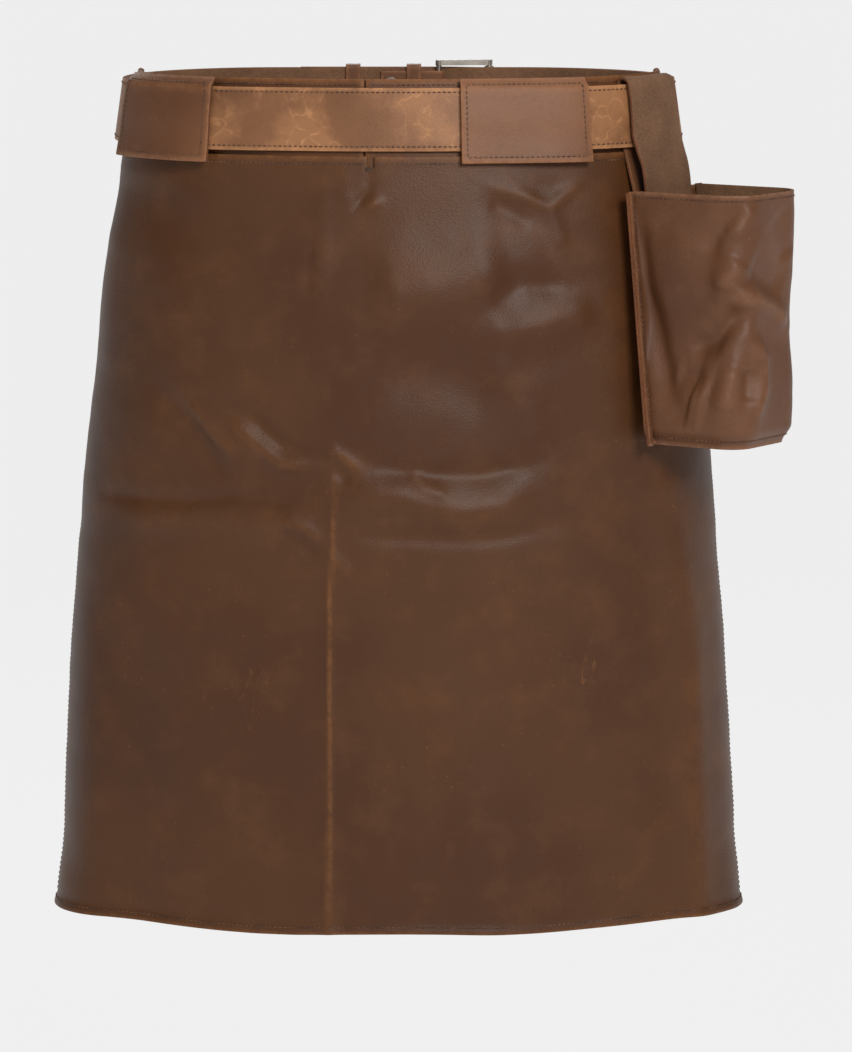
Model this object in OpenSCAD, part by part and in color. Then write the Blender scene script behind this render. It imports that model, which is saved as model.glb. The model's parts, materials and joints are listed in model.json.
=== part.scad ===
// Leather welding apron of the waist kind: a short skirt on a waistband, a two-ply belt through two
// wide loops, and a tool pouch that hangs from the belt on a folded strap.
// Origin: centre of the waist opening at the belt's mid-height. The front faces -Y, +Z is up.

/* [Waist] */
// Breadth of the waist opening, inside the waistband at belt height
waist_w = 388; // [320:1:440]
// Depth from the hip axes to the front of the waist opening
front_d = 125; // [118:1:150]
// Length of the straight run across the back
back_w = 168; // [150:2:200]
// Outward slope of the waist, widening downwards, in mm per mm
cone = 0.14; // [0:0.01:0.2]

/* [Waistband] */
// How far the waistband stands above the belt
band_above = 6; // [3:0.5:14]
// How far the waistband reaches below the belt
band_below = 19.5; // [12:0.5:40]
// Length of each waistband half, from the front centre round the hip
band_half = 272; // [240:1:300]
// Thickness of the waistband's outer leather
band_t = 2.5; // [1.5:0.1:3.5]
// Thickness of the waistband's lining
lining_t = 1.6; // [1:0.1:2.5]
// Place of the join between the two halves, along the waist from the centre
join_at = -23.6; // [-60:0.1:60]
// Width of the open notch where the two halves meet
join_gap = 1.2; // [0.5:0.1:6]

/* [Skirt] */
// Gap between the belt and the skirt's raw top edge below it
skirt_below = 3.5; // [1.5:0.5:8]
// Length of the skirt from its top edge to the hem
skirt_l = 569; // [450:1:700]
// Thickness of the skirt's leather
hide_t = 2; // [1.4:0.1:3]
// How much broader the skirt is at the hem than the waist opening
hem_more = 116; // [80:1:160]
// Depth from the hip line to the front of the hem
hem_d = 130; // [110:1:150]
// Corner radius of the hem, seen from above
hem_r = 78; // [60:1:100]
// How far the skirt reaches round the hip at the top, in degrees from the front
wrap_top = 97; // [90:1:105]
// How far the skirt reaches round the hip at the hem, in degrees from the front
wrap_hem = 95; // [90:1:105]
// How early the skirt flares: 1 is straight, more is fuller near the top
flare = 1.6; // [1:0.1:2]

/* [Belt] */
// Width of the belt
belt_w = 45; // [30:1:48]
// Thickness of each of the belt's two plies
belt_ply = 2.2; // [1.5:0.1:3]
// Slack between the waistband and the belt at the front
belt_slack = 0.2; // [0.1:0.1:1]
// How far the belt stands off further over the hips, for the strap behind it
belt_lift = 5.1; // [4.9:0.1:8]
// Distance between adjusting holes
hole_pitch = 25; // [20:1:30]
// Radius of the round adjusting holes
hole_r = 2.5; // [1.8:0.1:3]

/* [Loops] */
// Finished width of each belt loop, along its face
loop_w = 96; // [60:1:100]
// How far each belt loop reaches past the belt's edges
loop_over = 7.5; // [5:0.5:12]
// Thickness of a loop's face leather
loop_face_t = 2.2; // [1.5:0.1:3]
// Thickness of a loop's lining
loop_lining_t = 1.6; // [1:0.1:2.5]
// Start of the loop on the wearer's left, along the waist from the centre
loop_left_at = 44; // [30:1:60]
// Start of the loop on the wearer's right, along the waist from the centre
loop_right_at = 132; // [90:1:150]

/* [Hanger] */
// Distance along the waist from the left loop to the hanger strap
hang_from = 31; // [24:1:60]
// Width of the hanger strap
strap_w = 62; // [40:1:66]
// Thickness of the hanger strap
strap_t = 2.2; // [1.5:0.1:2.4]
// Gap between the strap and what it slides along
slide_gap = 0.45; // [0.3:0.05:1]
// How far below the belt the fold line lies that the pouch swings about
fold_below = 4.5; // [3:0.5:10]

/* [Pouch] */
// Width of the pouch over its side seams
pouch_w = 100; // [80:1:110]
// Depth of the pouch, back to front
pouch_d = 96; // [60:1:110]
// Height of the pouch from its rim to its bottom
pouch_h = 184; // [120:1:220]
// Drop from the fold line to the rim
rim_drop = 25; // [16:1:40]
// Thickness of the pouch's leather
pouch_t = 2; // [1.4:0.1:3]
// Width of each side seam's flange
seam_w = 6; // [4:0.5:10]
// Radius of the pouch's front corners
pouch_r = 24; // [15:1:36]
// Outward lean of the hanging pouch, in degrees
pouch_lean = 5.5; // [5:0.5:9]

/* [Buckle] */
// Distance between the buckle's heel bar and its roller bar
buckle_l = 38; // [34:1:46]
// Radius of the buckle's bars
bar_r = 2; // [1.6:0.1:2.4]
// Outer radius of the roller
roller_r = 3.5; // [3:0.1:4]
// Radius of the prong
prong_r = 1.5; // [1.2:0.1:1.8]
// Width of the chape that holds the buckle
chape_w = 40; // [30:1:42]
// Thickness of the chape's leather
chape_t = 1.8; // [1.4:0.1:2]
// Radius of the rivets' shanks
rivet_r = 2; // [1.5:0.1:2.5]
// Width of each belt keeper
keeper_w = 11; // [8:1:14]
// Thickness of each keeper's leather
keeper_t = 1.8; // [1.4:0.1:2.2]

/* [Hidden] */
$fn = 48;

// Colours
hide_tan = [0.36, 0.23, 0.16];
belt_tan = [0.52, 0.35, 0.24];
lining_tan = [0.42, 0.29, 0.2];
steel = [0.6, 0.58, 0.55];

// Levels measured from the belt's middle
band_top = belt_w / 2 + band_above;
band_drop = belt_w / 2 + band_below;
skirt_top = belt_w / 2 + skirt_below;
fold_at = belt_w / 2 + fold_below;
loop_low = -belt_w / 2 - loop_over - 1;
loop_high = belt_w / 2 + loop_over - 1;

// The waist opening seen from above: a front arc, an arc round each hip, and a straight back.
hip_x = back_w / 2;
hip_r = waist_w / 2 - hip_x;
hem_w = waist_w + hem_more;
front_r = (hip_x * hip_x + front_d * front_d - hip_r * hip_r) / (2 * (front_d - hip_r));
front_y = front_r - front_d;
turn = atan2(hip_x, front_y);
front_len = front_r * turn * PI / 180;
hip_end = front_len + hip_r * (180 - turn) * PI / 180;

// Direction of the outward normal at a place along the waist, in degrees from the front
function facing(u) =
    let (a = abs(u))
    a < front_len ? sign(u) * a / front_r * 180 / PI
    : sign(u) * min(180, turn + (a - front_len) / hip_r * 180 / PI);

// Point on the waist opening at a place along it
function waist_at(u) =
    let (a = abs(u), s = u < 0 ? -1 : 1, f = abs(facing(u)))
    a < front_len ? [s * front_r * sin(f), front_y - front_r * cos(f)]
    : a < hip_end ? [s * (hip_x + hip_r * sin(f)), -hip_r * cos(f)]
    : [s * (hip_x - (a - hip_end)), hip_r];

// Smooth step from 0 at a to 1 at b
function ease(x, a, b) =
    let (t = max(0, min(1, (x - a) / (b - a))))
    t * t * (3 - 2 * t);

// The hanger slides from the loop's edge to here, so the belt stays lifted as far as this.
lift_from = 60;
lift_full = 140;
lift_end = hip_end - 34;
function lift(u) = belt_lift * ease(abs(u), lift_from, lift_full) * (1 - ease(abs(u), lift_end, hip_end));
function slope(u) = cone * (1 - ease(abs(u), lift_end, hip_end));

// The same pitch along the waist for every ply, so that their faces meet.
columns = 28;
pitch = band_half / columns;
function steps(u0, u1) =
    concat([u0], [for (k = [ceil(u0 / pitch + 0.05) : floor(u1 / pitch - 0.05)]) k * pitch], [u1]);

// A strip along the waist: section(u) gives its outline as [distance outwards, height] pairs, and cap
// splits that outline into convex loops of its points.
module strip(u0, u1, section, cap = [[0, 1, 2, 3]]) {
    us = steps(u0, u1);
    n = len(us);
    m = len(section(u0));
    points = [
        for (u = us)
            let (p = waist_at(u), f = facing(u))
            for (q = section(u))
                let (o = q[0] - q[1] * slope(u))
                [p[0] + o * sin(f), p[1] - o * cos(f), q[1]]
    ];
    // Each side is split on the diagonal that rises along the strip, so plies that meet share it.
    shape = section(u0);
    sides = [
        for (i = [0 : n - 2], j = [0 : m - 1])
            let (k = (j + 1) % m, a = i * m + j, b = i * m + k)
            each shape[k][1] >= shape[j][1] ? [[a, b, b + m], [a, b + m, a + m]]
                : [[a, b, a + m], [b, b + m, a + m]]
    ];
    first = [for (c = cap) [for (j = [len(c) - 1 : -1 : 0]) c[j]]];
    last = [for (c = cap) [for (j = c) (n - 1) * m + j]];
    polyhedron(points, concat(sides, first, last), convexity = 8);
}

function plate(inner, t, z0, z1) = [[inner, z0], [inner + t, z0], [inner + t, z1], [inner, z1]];

// Puts its children on the waist at u: local -Y points outwards, +X along the waist
module on_waist(u) {
    p = waist_at(u);
    translate([p[0], p[1], 0])
        rotate([0, 0, facing(u)])
            children();
}

// Waistband: two halves that meet at a notch, and one lining behind both
module waistband_left() {
    color(hide_tan)
        strip(join_at + join_gap / 2, band_half, function(u) plate(0, band_t, -band_drop, band_top));
}

module waistband_right() {
    color(hide_tan)
        strip(-band_half, join_at - join_gap / 2, function(u) plate(0, band_t, -band_drop, band_top));
}

module waistband_lining() {
    inset = 1;
    color(lining_tan)
        strip(-band_half, band_half,
            function(u) plate(-lining_t, lining_t, inset - band_drop, band_top - inset));
}

// Skirt: lofted from an oval that laps the waistband to the wider oval of the hem
lap_gap = 0.4;
rows = 18;
// Rows lie closer together near the waistband.
function level(i) = pow(i / rows, 1.6);
skirt_in = band_t + lap_gap + cone * skirt_top;

// A size of the skirt's section at level t, from a at the top to b at the hem. It starts at least as
// steeply as the waistband behind it, and so stands clear of it.
function spread(t, a, b) =
    let (lead = max(0, (1.15 * cone * skirt_l - flare * (b - a)) / 5))
    a + (b - a) * (1 - pow(1 - t, flare)) + lead * (1 - pow(1 - t, 6) - t);

function skirt_section(t) =
    let (w = spread(t, waist_w / 2 + skirt_in, hem_w / 2 - hide_t),
         d = spread(t, front_d + skirt_in, hem_d - hide_t),
         r = spread(t, hip_r + skirt_in, hem_r - hide_t),
         x = w - r,
         big = (x * x + d * d - r * r) / (2 * (d - r)))
    [x, r, big, big - d, atan2(x, big - d), wrap_top * (1 - t) + wrap_hem * t];

// Point of the skirt at share s of its half width, level t, and distance o outwards
function skirt_point(s, t, o) =
    let (c = skirt_section(t),
         x = c[0], r = c[1], big = c[2], y = c[3], a = c[4],
         front = big * a,
         u = abs(s) * (front + r * (c[5] - a)),
         f = u < front ? u / big : a + (u - front) / r,
         g = s < 0 ? -1 : 1,
         z = -skirt_top - t * skirt_l)
    u < front ? [g * (big + o) * sin(f), y - (big + o) * cos(f), z]
    : [g * (x + (r + o) * sin(f)), -(r + o) * cos(f), z];

module skirt() {
    cols = 2 * columns;
    side = (cols + 1) * (rows + 1);
    points = [
        for (o = [0, hide_t], i = [0 : rows], j = [0 : cols])
            skirt_point(2 * j / cols - 1, level(i), o)
    ];
    function at(o, i, j) = o * side + i * (cols + 1) + j;
    inner = [for (i = [0 : rows - 1], j = [0 : cols - 1])
        [at(0, i, j), at(0, i, j + 1), at(0, i + 1, j + 1), at(0, i + 1, j)]];
    outer = [for (i = [0 : rows - 1], j = [0 : cols - 1])
        [at(1, i, j), at(1, i + 1, j), at(1, i + 1, j + 1), at(1, i, j + 1)]];
    top = [for (j = [0 : cols - 1]) [at(0, 0, j), at(1, 0, j), at(1, 0, j + 1), at(0, 0, j + 1)]];
    hem = [for (j = [0 : cols - 1])
        [at(0, rows, j), at(0, rows, j + 1), at(1, rows, j + 1), at(1, rows, j)]];
    start = [for (i = [0 : rows - 1]) [at(0, i, 0), at(0, i + 1, 0), at(1, i + 1, 0), at(1, i, 0)]];
    end = [for (i = [0 : rows - 1])
        [at(0, i, cols), at(1, i, cols), at(1, i + 1, cols), at(0, i + 1, cols)]];
    color(hide_tan)
        polyhedron(points, concat(inner, outer, top, hem, start, end), convexity = 6);
}

// Belt: buckle end, round the wearer's right hip, the front, the left hip, and the tail over the buckle
belt_in = band_t + belt_slack;
belt_mid = belt_in + belt_ply;
back_y = hip_r + belt_mid;
heel_x = 30;
belt_end_x = heel_x - 10;
chape_end_x = heel_x - 44;
tail_tip_x = -75;
// Rise of the tail from under the roller to over the chape
tail_gap = 0.3;
tail_rise = 2 * belt_ply + chape_t + tail_gap;
rise_from_x = heel_x + buckle_l - roller_r - 2.5;
rise_to_x = heel_x + 7;
function u_right(x) = -(hip_end + hip_x + x);
function u_left(x) = hip_end + hip_x - x;
function tail(u) = tail_rise * ease(u, u_left(rise_from_x), u_left(rise_to_x));

// The prong leans on the roller, and its slot in the tail lies where the two cross.
roller_y = belt_ply + roller_r + 0.4;
roller_dist = sqrt(buckle_l * buckle_l + roller_y * roller_y);
prong_angle = atan2(roller_y, buckle_l) + asin((roller_r + prong_r + 0.1) / roller_dist);
prong_slot = [heel_x + 5.5, heel_x + buckle_l - 12];

module belt_ply_strip(inner) {
    difference() {
        strip(u_right(belt_end_x), u_left(tail_tip_x),
            function(u) plate(inner + lift(u) + tail(u), belt_ply, -belt_w / 2, belt_w / 2));
        for (k = [-2, -1, 1, 2])
            on_waist(u_left((prong_slot[0] + prong_slot[1]) / 2 + k * hole_pitch))
                rotate([90, 0, 0]) cylinder(r = hole_r, h = 60, center = true);
        translate([0, back_y, 0]) {
            for (x = prong_slot)
                translate([x + (x == prong_slot[0] ? hole_r : -hole_r), 0, 0])
                    rotate([90, 0, 0]) cylinder(r = hole_r, h = 60, center = true);
            translate([prong_slot[0] + hole_r, -30, -hole_r])
                cube([prong_slot[1] - prong_slot[0] - 2 * hole_r, 60, 2 * hole_r]);
        }
        rivet_holes(belt_mid);
    }
}

module belt_outer() {
    color(belt_tan) belt_ply_strip(belt_in + belt_ply);
}

module belt_lining() {
    color(lining_tan) belt_ply_strip(belt_in);
}

// Loops: a face and a lining, whose top and bottom lands are stitched down round the belt
loop_gap = 0.3;
land_gap = 0.6;
loop_in = belt_in + 2 * belt_ply + loop_gap;
function loop_len_end(u0) =
    let (o = loop_in + belt_lift + loop_lining_t + loop_face_t,
         front = max(0, front_len - u0) * (1 + o / front_r))
    loop_w <= front ? u0 + loop_w / (1 + o / front_r)
    : max(u0, front_len) + (loop_w - front) / (1 + o / hip_r);

module loop_face(u0, u1) {
    strip(u0, u1, function(u)
        plate(loop_in + lift(u) + loop_lining_t, loop_face_t, loop_low, loop_high));
}

// Seen end on, the lining is a C that opens inwards.
module loop_lining(u0, u1) {
    inner = belt_w / 2 + land_gap;
    foot = band_t + lap_gap + hide_t + 0.3;
    strip(u0, u1, function(u)
        let (a = loop_in + lift(u), b = a + loop_lining_t)
        [[foot, loop_low], [b, loop_low], [b, loop_high], [band_t, loop_high],
         [band_t, inner], [a, inner], [a, -inner], [foot, -inner]],
        [[0, 1, 6, 7], [1, 2, 5, 6], [2, 3, 4, 5]]);
}

loop_left_end = loop_len_end(loop_left_at);
loop_right_end = loop_len_end(loop_right_at);

module loop_left_face() {
    color(hide_tan) loop_face(loop_left_at, loop_left_end);
}

module loop_left_lining() {
    color(lining_tan) loop_lining(loop_left_at, loop_left_end);
}

module loop_right_face() {
    color(hide_tan) loop_face(-loop_right_end, -loop_right_at);
}

module loop_right_lining() {
    color(lining_tan) loop_lining(-loop_right_end, -loop_right_at);
}

// Buckle: origin of these modules is the heel bar's middle, +X along the back to the wearer's left
module at_buckle() {
    translate([heel_x, back_y, 0]) children();
}

module upright(r, h) {
    cylinder(r = r, h = h, center = true);
}

side_gap = 1.4;
side_t = 4;
frame_h = belt_w + 2 * (side_gap + side_t);

module buckle_frame() {
    tilt = atan2(roller_y, buckle_l);
    color(steel) at_buckle() {
        upright(bar_r, frame_h);
        translate([buckle_l, roller_y, 0]) upright(bar_r, frame_h);
        for (z = [-1, 1])
            translate([0, 0, z * (frame_h - side_t) / 2])
                rotate([0, 0, tilt]) {
                    upright(bar_r + 0.6, side_t);
                    translate([roller_dist, 0, 0]) upright(bar_r + 0.6, side_t);
                    translate([0, -bar_r - 0.4, -side_t / 2]) cube([roller_dist, 2 * bar_r + 0.8, side_t]);
                }
    }
}

run_gap = 0.05;

module buckle_roller() {
    color(steel) at_buckle()
        translate([buckle_l, roller_y, 0])
            difference() {
                upright(roller_r, belt_w + 2 * side_gap - 1.2);
                upright(bar_r + run_gap, belt_w + 20);
            }
}

prong_w = 4;
prong_l = roller_dist + 5;

module buckle_prong() {
    color(steel) at_buckle()
        difference() {
            union() {
                upright(bar_r + run_gap + 1.6, prong_w);
                rotate([0, 0, prong_angle]) rotate([0, 90, 0]) {
                    cylinder(r = prong_r, h = prong_l);
                    translate([0, 0, prong_l]) sphere(r = prong_r);
                }
            }
            upright(bar_r + run_gap, prong_w + 20);
        }
}

// Rivet places on the chape
rivet_x = chape_end_x + 8;
rivet_z = 11;

module rivet_holes(mid) {
    for (z = [-1, 1])
        translate([rivet_x, hip_r + mid, z * rivet_z])
            rotate([90, 0, 0]) cylinder(r = rivet_r, h = 2 * (belt_ply + chape_t) + 0.2, center = true);
}

module buckle_chape() {
    leaf = belt_ply + chape_t;
    color(hide_tan)
        difference() {
            at_buckle() {
                difference() {
                    union() {
                        upright(leaf, chape_w);
                        translate([chape_end_x - heel_x, -leaf, -chape_w / 2])
                            cube([heel_x - chape_end_x, 2 * leaf, chape_w]);
                    }
                    upright(belt_ply, chape_w + 2);
                    translate([chape_end_x - heel_x - 1, -belt_ply, -chape_w / 2 - 1])
                        cube([heel_x - chape_end_x + 1, 2 * belt_ply, chape_w + 2]);
                    translate([-6, -leaf - 1, -prong_w / 2 - 1.5]) cube([leaf + 8, 2 * leaf + 2, prong_w + 3]);
                }
            }
            rivet_holes(belt_mid);
        }
}

module chape_rivets() {
    leaf = belt_ply + chape_t;
    head_r = rivet_r * 2.2;
    head_t = 1;
    color(steel)
        for (z = [-1, 1])
            translate([rivet_x, back_y, z * rivet_z])
                rotate([-90, 0, 0]) {
                    cylinder(r = rivet_r, h = 2 * leaf, center = true);
                    translate([0, 0, -leaf - head_t]) cylinder(r = head_r, h = head_t);
                }
}

// Keepers: a band round the belt and the tail lying on it
module keeper(x, below, above) {
    h = belt_w + 1;
    translate([x - keeper_w / 2, back_y, 0])
        difference() {
            translate([0, -below - keeper_t, -h / 2 - keeper_t])
                cube([keeper_w, below + above + 2 * keeper_t, h + 2 * keeper_t]);
            translate([-1, -below, -h / 2]) cube([keeper_w + 2, below + above, h]);
        }
}

keeper_fixed_x = heel_x - 19;
keeper_sliding_x = heel_x - 65;
tail_top = belt_ply + tail_rise;

module keeper_fixed() {
    color(hide_tan) keeper(keeper_fixed_x, belt_ply + chape_t, tail_top + 0.3);
}

module keeper_sliding() {
    color(hide_tan) keeper(keeper_sliding_x, belt_ply + 0.35, tail_top + 0.35);
}

// Hanger: the strap folded over the belt, turned round the left hip's axis
strap_in = belt_in + belt_lift - slide_gap - strap_t;
strap_out = belt_in + belt_lift + 2 * belt_ply + slide_gap;
strap_turn = strap_w / (hip_r + strap_out) * 180 / PI;
strap_top = belt_w / 2 + slide_gap;
hang_at = facing(loop_left_end + hang_from) + strap_turn / 2;

module at_hip() {
    translate([hip_x, 0, 0]) rotate([0, 0, hang_at]) children();
}

// Outline of the folded strap as [radius, height], leaning with the waist
function fold_arc(inner, half) =
    [for (a = [0 : 15 : 180])
        let (r = half + (inner ? 0 : strap_t))
        [(strap_in + strap_t + half) + r * cos(a), strap_top + r * sin(a) * (inner ? 0.25 : 0.6)]];

module hanger_loop() {
    half = (strap_out - strap_in - strap_t) / 2;
    outer = concat([[strap_out + strap_t, -fold_at]], fold_arc(false, half), [[strap_in, -fold_at]]);
    under = fold_arc(true, half);
    inner = concat([[strap_in + strap_t, -fold_at]], [for (i = [len(under) - 1 : -1 : 0]) under[i]],
        [[strap_out, -fold_at]]);
    color(hide_tan) at_hip()
        rotate([0, 0, -90 - strap_turn / 2])
            rotate_extrude(angle = strap_turn)
                polygon([for (p = concat(outer, inner)) [hip_r + p[0] - p[1] * cone, p[1]]]);
}

// Pouch: origin of these modules is the middle of the fold line, -Y points outwards. The back panel
// leans outwards on the skirt, while the pouch's body hangs upright.
fold_r = hip_r + strap_out + strap_t + fold_at * cone;
fold_gap = 0.8;

module at_fold(lean = pouch_lean) {
    at_hip()
        translate([0, -fold_r, -fold_at])
            rotate([-lean, 0, 0])
                children();
}

shoulder = 12;
corner_r = 12;
pouch_bottom_z = -rim_drop - pouch_h;

// The rear leg of the strap: it comes forward to lie on the back panel, where it is stitched.
tail_l = 46;
module hanger_tail() {
    rear = strap_out - strap_in + strap_t - 0.6;
    color(hide_tan) at_fold()
        translate([-strap_w / 2 + 1, 0, 0])
            rotate([90, 0, 90])
                linear_extrude(height = strap_w - 2)
                    polygon([
                        [rear - strap_t, -fold_gap - 1], [rear, -fold_gap - 1],
                        [pouch_t + strap_t, -tail_l + 14], [pouch_t + strap_t, -tail_l],
                        [pouch_t, -tail_l], [pouch_t, -tail_l + 14]
                    ]);
}

module pouch_back() {
    color(hide_tan) at_fold()
        translate([0, pouch_t, 0])
            rotate([90, 0, 0])
                linear_extrude(height = pouch_t) {
                    translate([-strap_w / 2, -rim_drop - shoulder])
                        square([strap_w, rim_drop + shoulder - fold_gap]);
                    translate([-pouch_w / 2, pouch_bottom_z + corner_r])
                        square([pouch_w, pouch_h - shoulder - corner_r]);
                    translate([-pouch_w / 2 + corner_r, pouch_bottom_z])
                        square([pouch_w - 2 * corner_r, corner_r]);
                    for (x = [-1, 1])
                        translate([x * (pouch_w / 2 - corner_r), pouch_bottom_z + corner_r])
                            circle(r = corner_r);
                }
}

// Plan of the pouch's body, with its front corners rounded
body_back = -rim_drop * tan(pouch_lean);

module plan(inset) {
    w = pouch_w - 2 * seam_w - 2 * inset;
    d = pouch_d - inset - body_back;
    r = pouch_r - inset;
    translate([-w / 2, -d + r]) square([w, d - r + pouch_t]);
    translate([-w / 2 + r, -d]) square([w - 2 * r, d]);
    for (x = [-1, 1])
        translate([x * (w / 2 - r), -d + r]) circle(r = r);
}

// Everything behind the back panel's outer face
module behind_back() {
    at_fold()
        translate([-pouch_w, 0, -2 * pouch_h])
            cube([2 * pouch_w, pouch_d, 3 * pouch_h]);
}

module pouch_wrap() {
    color(hide_tan) {
        difference() {
            at_fold(0)
                translate([0, 0, pouch_bottom_z])
                    linear_extrude(height = pouch_h)
                        difference() {
                            plan(0);
                            translate([0, 0.01]) plan(pouch_t);
                        }
            behind_back();
        }
        at_fold()
            for (x = [-pouch_w / 2, pouch_w / 2 - seam_w])
                translate([x, -pouch_t, pouch_bottom_z + corner_r])
                    cube([seam_w, pouch_t, pouch_h - shoulder - corner_r]);
    }
}

module pouch_bottom() {
    color(hide_tan)
        difference() {
            at_fold(0)
                translate([0, 0, pouch_bottom_z])
                    linear_extrude(height = pouch_t)
                        plan(pouch_t + 0.1);
            behind_back();
        }
}

skirt();
waistband_left();
waistband_right();
waistband_lining();
belt_outer();
belt_lining();
loop_left_face();
loop_left_lining();
loop_right_face();
loop_right_lining();
buckle_frame();
buckle_roller();
buckle_prong();
buckle_chape();
chape_rivets();
keeper_fixed();
keeper_sliding();
hanger_loop();
hanger_tail();
pouch_back();
pouch_wrap();
pouch_bottom();
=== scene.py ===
"""Leather waist apron with a two-ply belt, stitched belt loops and a hanging tool pouch.

Sizes in the classes are millimetres; meshes are made in metres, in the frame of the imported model.
"""

import json
import logging
import math
from dataclasses import dataclass
from enum import Enum
from typing import Any, Callable, Optional, Sequence

import bmesh
import bpy
import numpy as np
from mathutils import Matrix, Vector, noise

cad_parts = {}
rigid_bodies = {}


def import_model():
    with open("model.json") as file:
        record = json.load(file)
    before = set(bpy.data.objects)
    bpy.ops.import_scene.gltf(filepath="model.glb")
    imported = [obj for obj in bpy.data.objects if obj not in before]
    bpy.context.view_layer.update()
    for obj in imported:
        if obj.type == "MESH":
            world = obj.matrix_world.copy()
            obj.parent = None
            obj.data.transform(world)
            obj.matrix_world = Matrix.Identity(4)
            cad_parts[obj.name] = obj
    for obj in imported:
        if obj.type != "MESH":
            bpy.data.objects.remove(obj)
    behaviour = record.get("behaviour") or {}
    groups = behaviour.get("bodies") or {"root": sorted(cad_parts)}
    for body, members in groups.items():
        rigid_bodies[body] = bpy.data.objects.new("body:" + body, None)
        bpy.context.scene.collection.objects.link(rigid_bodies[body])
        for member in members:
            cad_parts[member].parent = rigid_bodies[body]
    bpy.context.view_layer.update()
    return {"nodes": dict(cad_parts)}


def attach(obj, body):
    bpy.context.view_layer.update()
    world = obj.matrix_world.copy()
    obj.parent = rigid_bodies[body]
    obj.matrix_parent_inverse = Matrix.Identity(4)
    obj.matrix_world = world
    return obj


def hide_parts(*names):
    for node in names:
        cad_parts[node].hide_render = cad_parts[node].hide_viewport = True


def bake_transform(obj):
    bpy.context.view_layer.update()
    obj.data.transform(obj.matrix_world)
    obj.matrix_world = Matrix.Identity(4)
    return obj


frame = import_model()

MM = 0.001
LOG = logging.getLogger("apron")
Colour = tuple[float, float, float, float]
Array = np.ndarray
Place = Callable[[Array, Array], Array]
Material = bpy.types.Material


def tone(red: int, green: int, blue: int) -> Colour:
    """Turn an 8-bit sRGB colour into the linear colour that shaders take.

    Args:
        red, green, blue: The channels, 0 to 255.

    Returns:
        The linear colour with full alpha.
    """
    def linear(channel: int) -> float:
        """Linear value of one 8-bit channel."""
        c = channel / 255
        return c / 12.92 if c <= 0.04045 else ((c + 0.055) / 1.055) ** 2.4
    return (linear(red), linear(green), linear(blue), 1.0)


def ease(x: Array, a: float, b: float) -> Array:
    """Smooth step from 0 at a to 1 at b.

    Args:
        x: Values to step over.
        a, b: Where the step starts and ends.

    Returns:
        The stepped values.
    """
    t = np.clip((x - a) / (b - a), 0, 1)
    return t * t * (3 - 2 * t)


# Shader graph


class Value:
    """A shader socket that takes part in Python arithmetic."""

    def __init__(self, graph: "Graph", socket: bpy.types.NodeSocket) -> None:
        """Keep the socket and the graph that it belongs to."""
        self.graph, self.socket = graph, socket

    def _maths(self, operation: str, a: Any, b: Any) -> "Value":
        """Add one Math node.

        Args:
            operation: The Math node's operation.
            a, b: Its two inputs, sockets or numbers.

        Returns:
            The node's result.
        """
        return self.graph.node("ShaderNodeMath", {"operation": operation}, {0: a, 1: b})

    def __add__(self, other: Any) -> "Value":
        """self + other."""
        return self._maths("ADD", self, other)

    def __radd__(self, other: Any) -> "Value":
        """other + self."""
        return self._maths("ADD", other, self)

    def __sub__(self, other: Any) -> "Value":
        """self - other."""
        return self._maths("SUBTRACT", self, other)

    def __rsub__(self, other: Any) -> "Value":
        """other - self."""
        return self._maths("SUBTRACT", other, self)

    def __mul__(self, other: Any) -> "Value":
        """self * other."""
        return self._maths("MULTIPLY", self, other)

    def __rmul__(self, other: Any) -> "Value":
        """other * self."""
        return self._maths("MULTIPLY", other, self)

    def band(self, low: float, high: float) -> "Value":
        """Stretch the values from low to high over 0 to 1, and clamp them.

        Args:
            low, high: The values that become 0 and 1.

        Returns:
            The stretched values.
        """
        return self.graph.node("ShaderNodeMapRange", {"interpolation_type": "SMOOTHSTEP"},
                               {0: self, 1: low, 2: high})

    def away(self, middle: float) -> "Value":
        """Distance of the values from a middle value."""
        return self._maths("ABSOLUTE", self - middle, 0.0)


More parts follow.
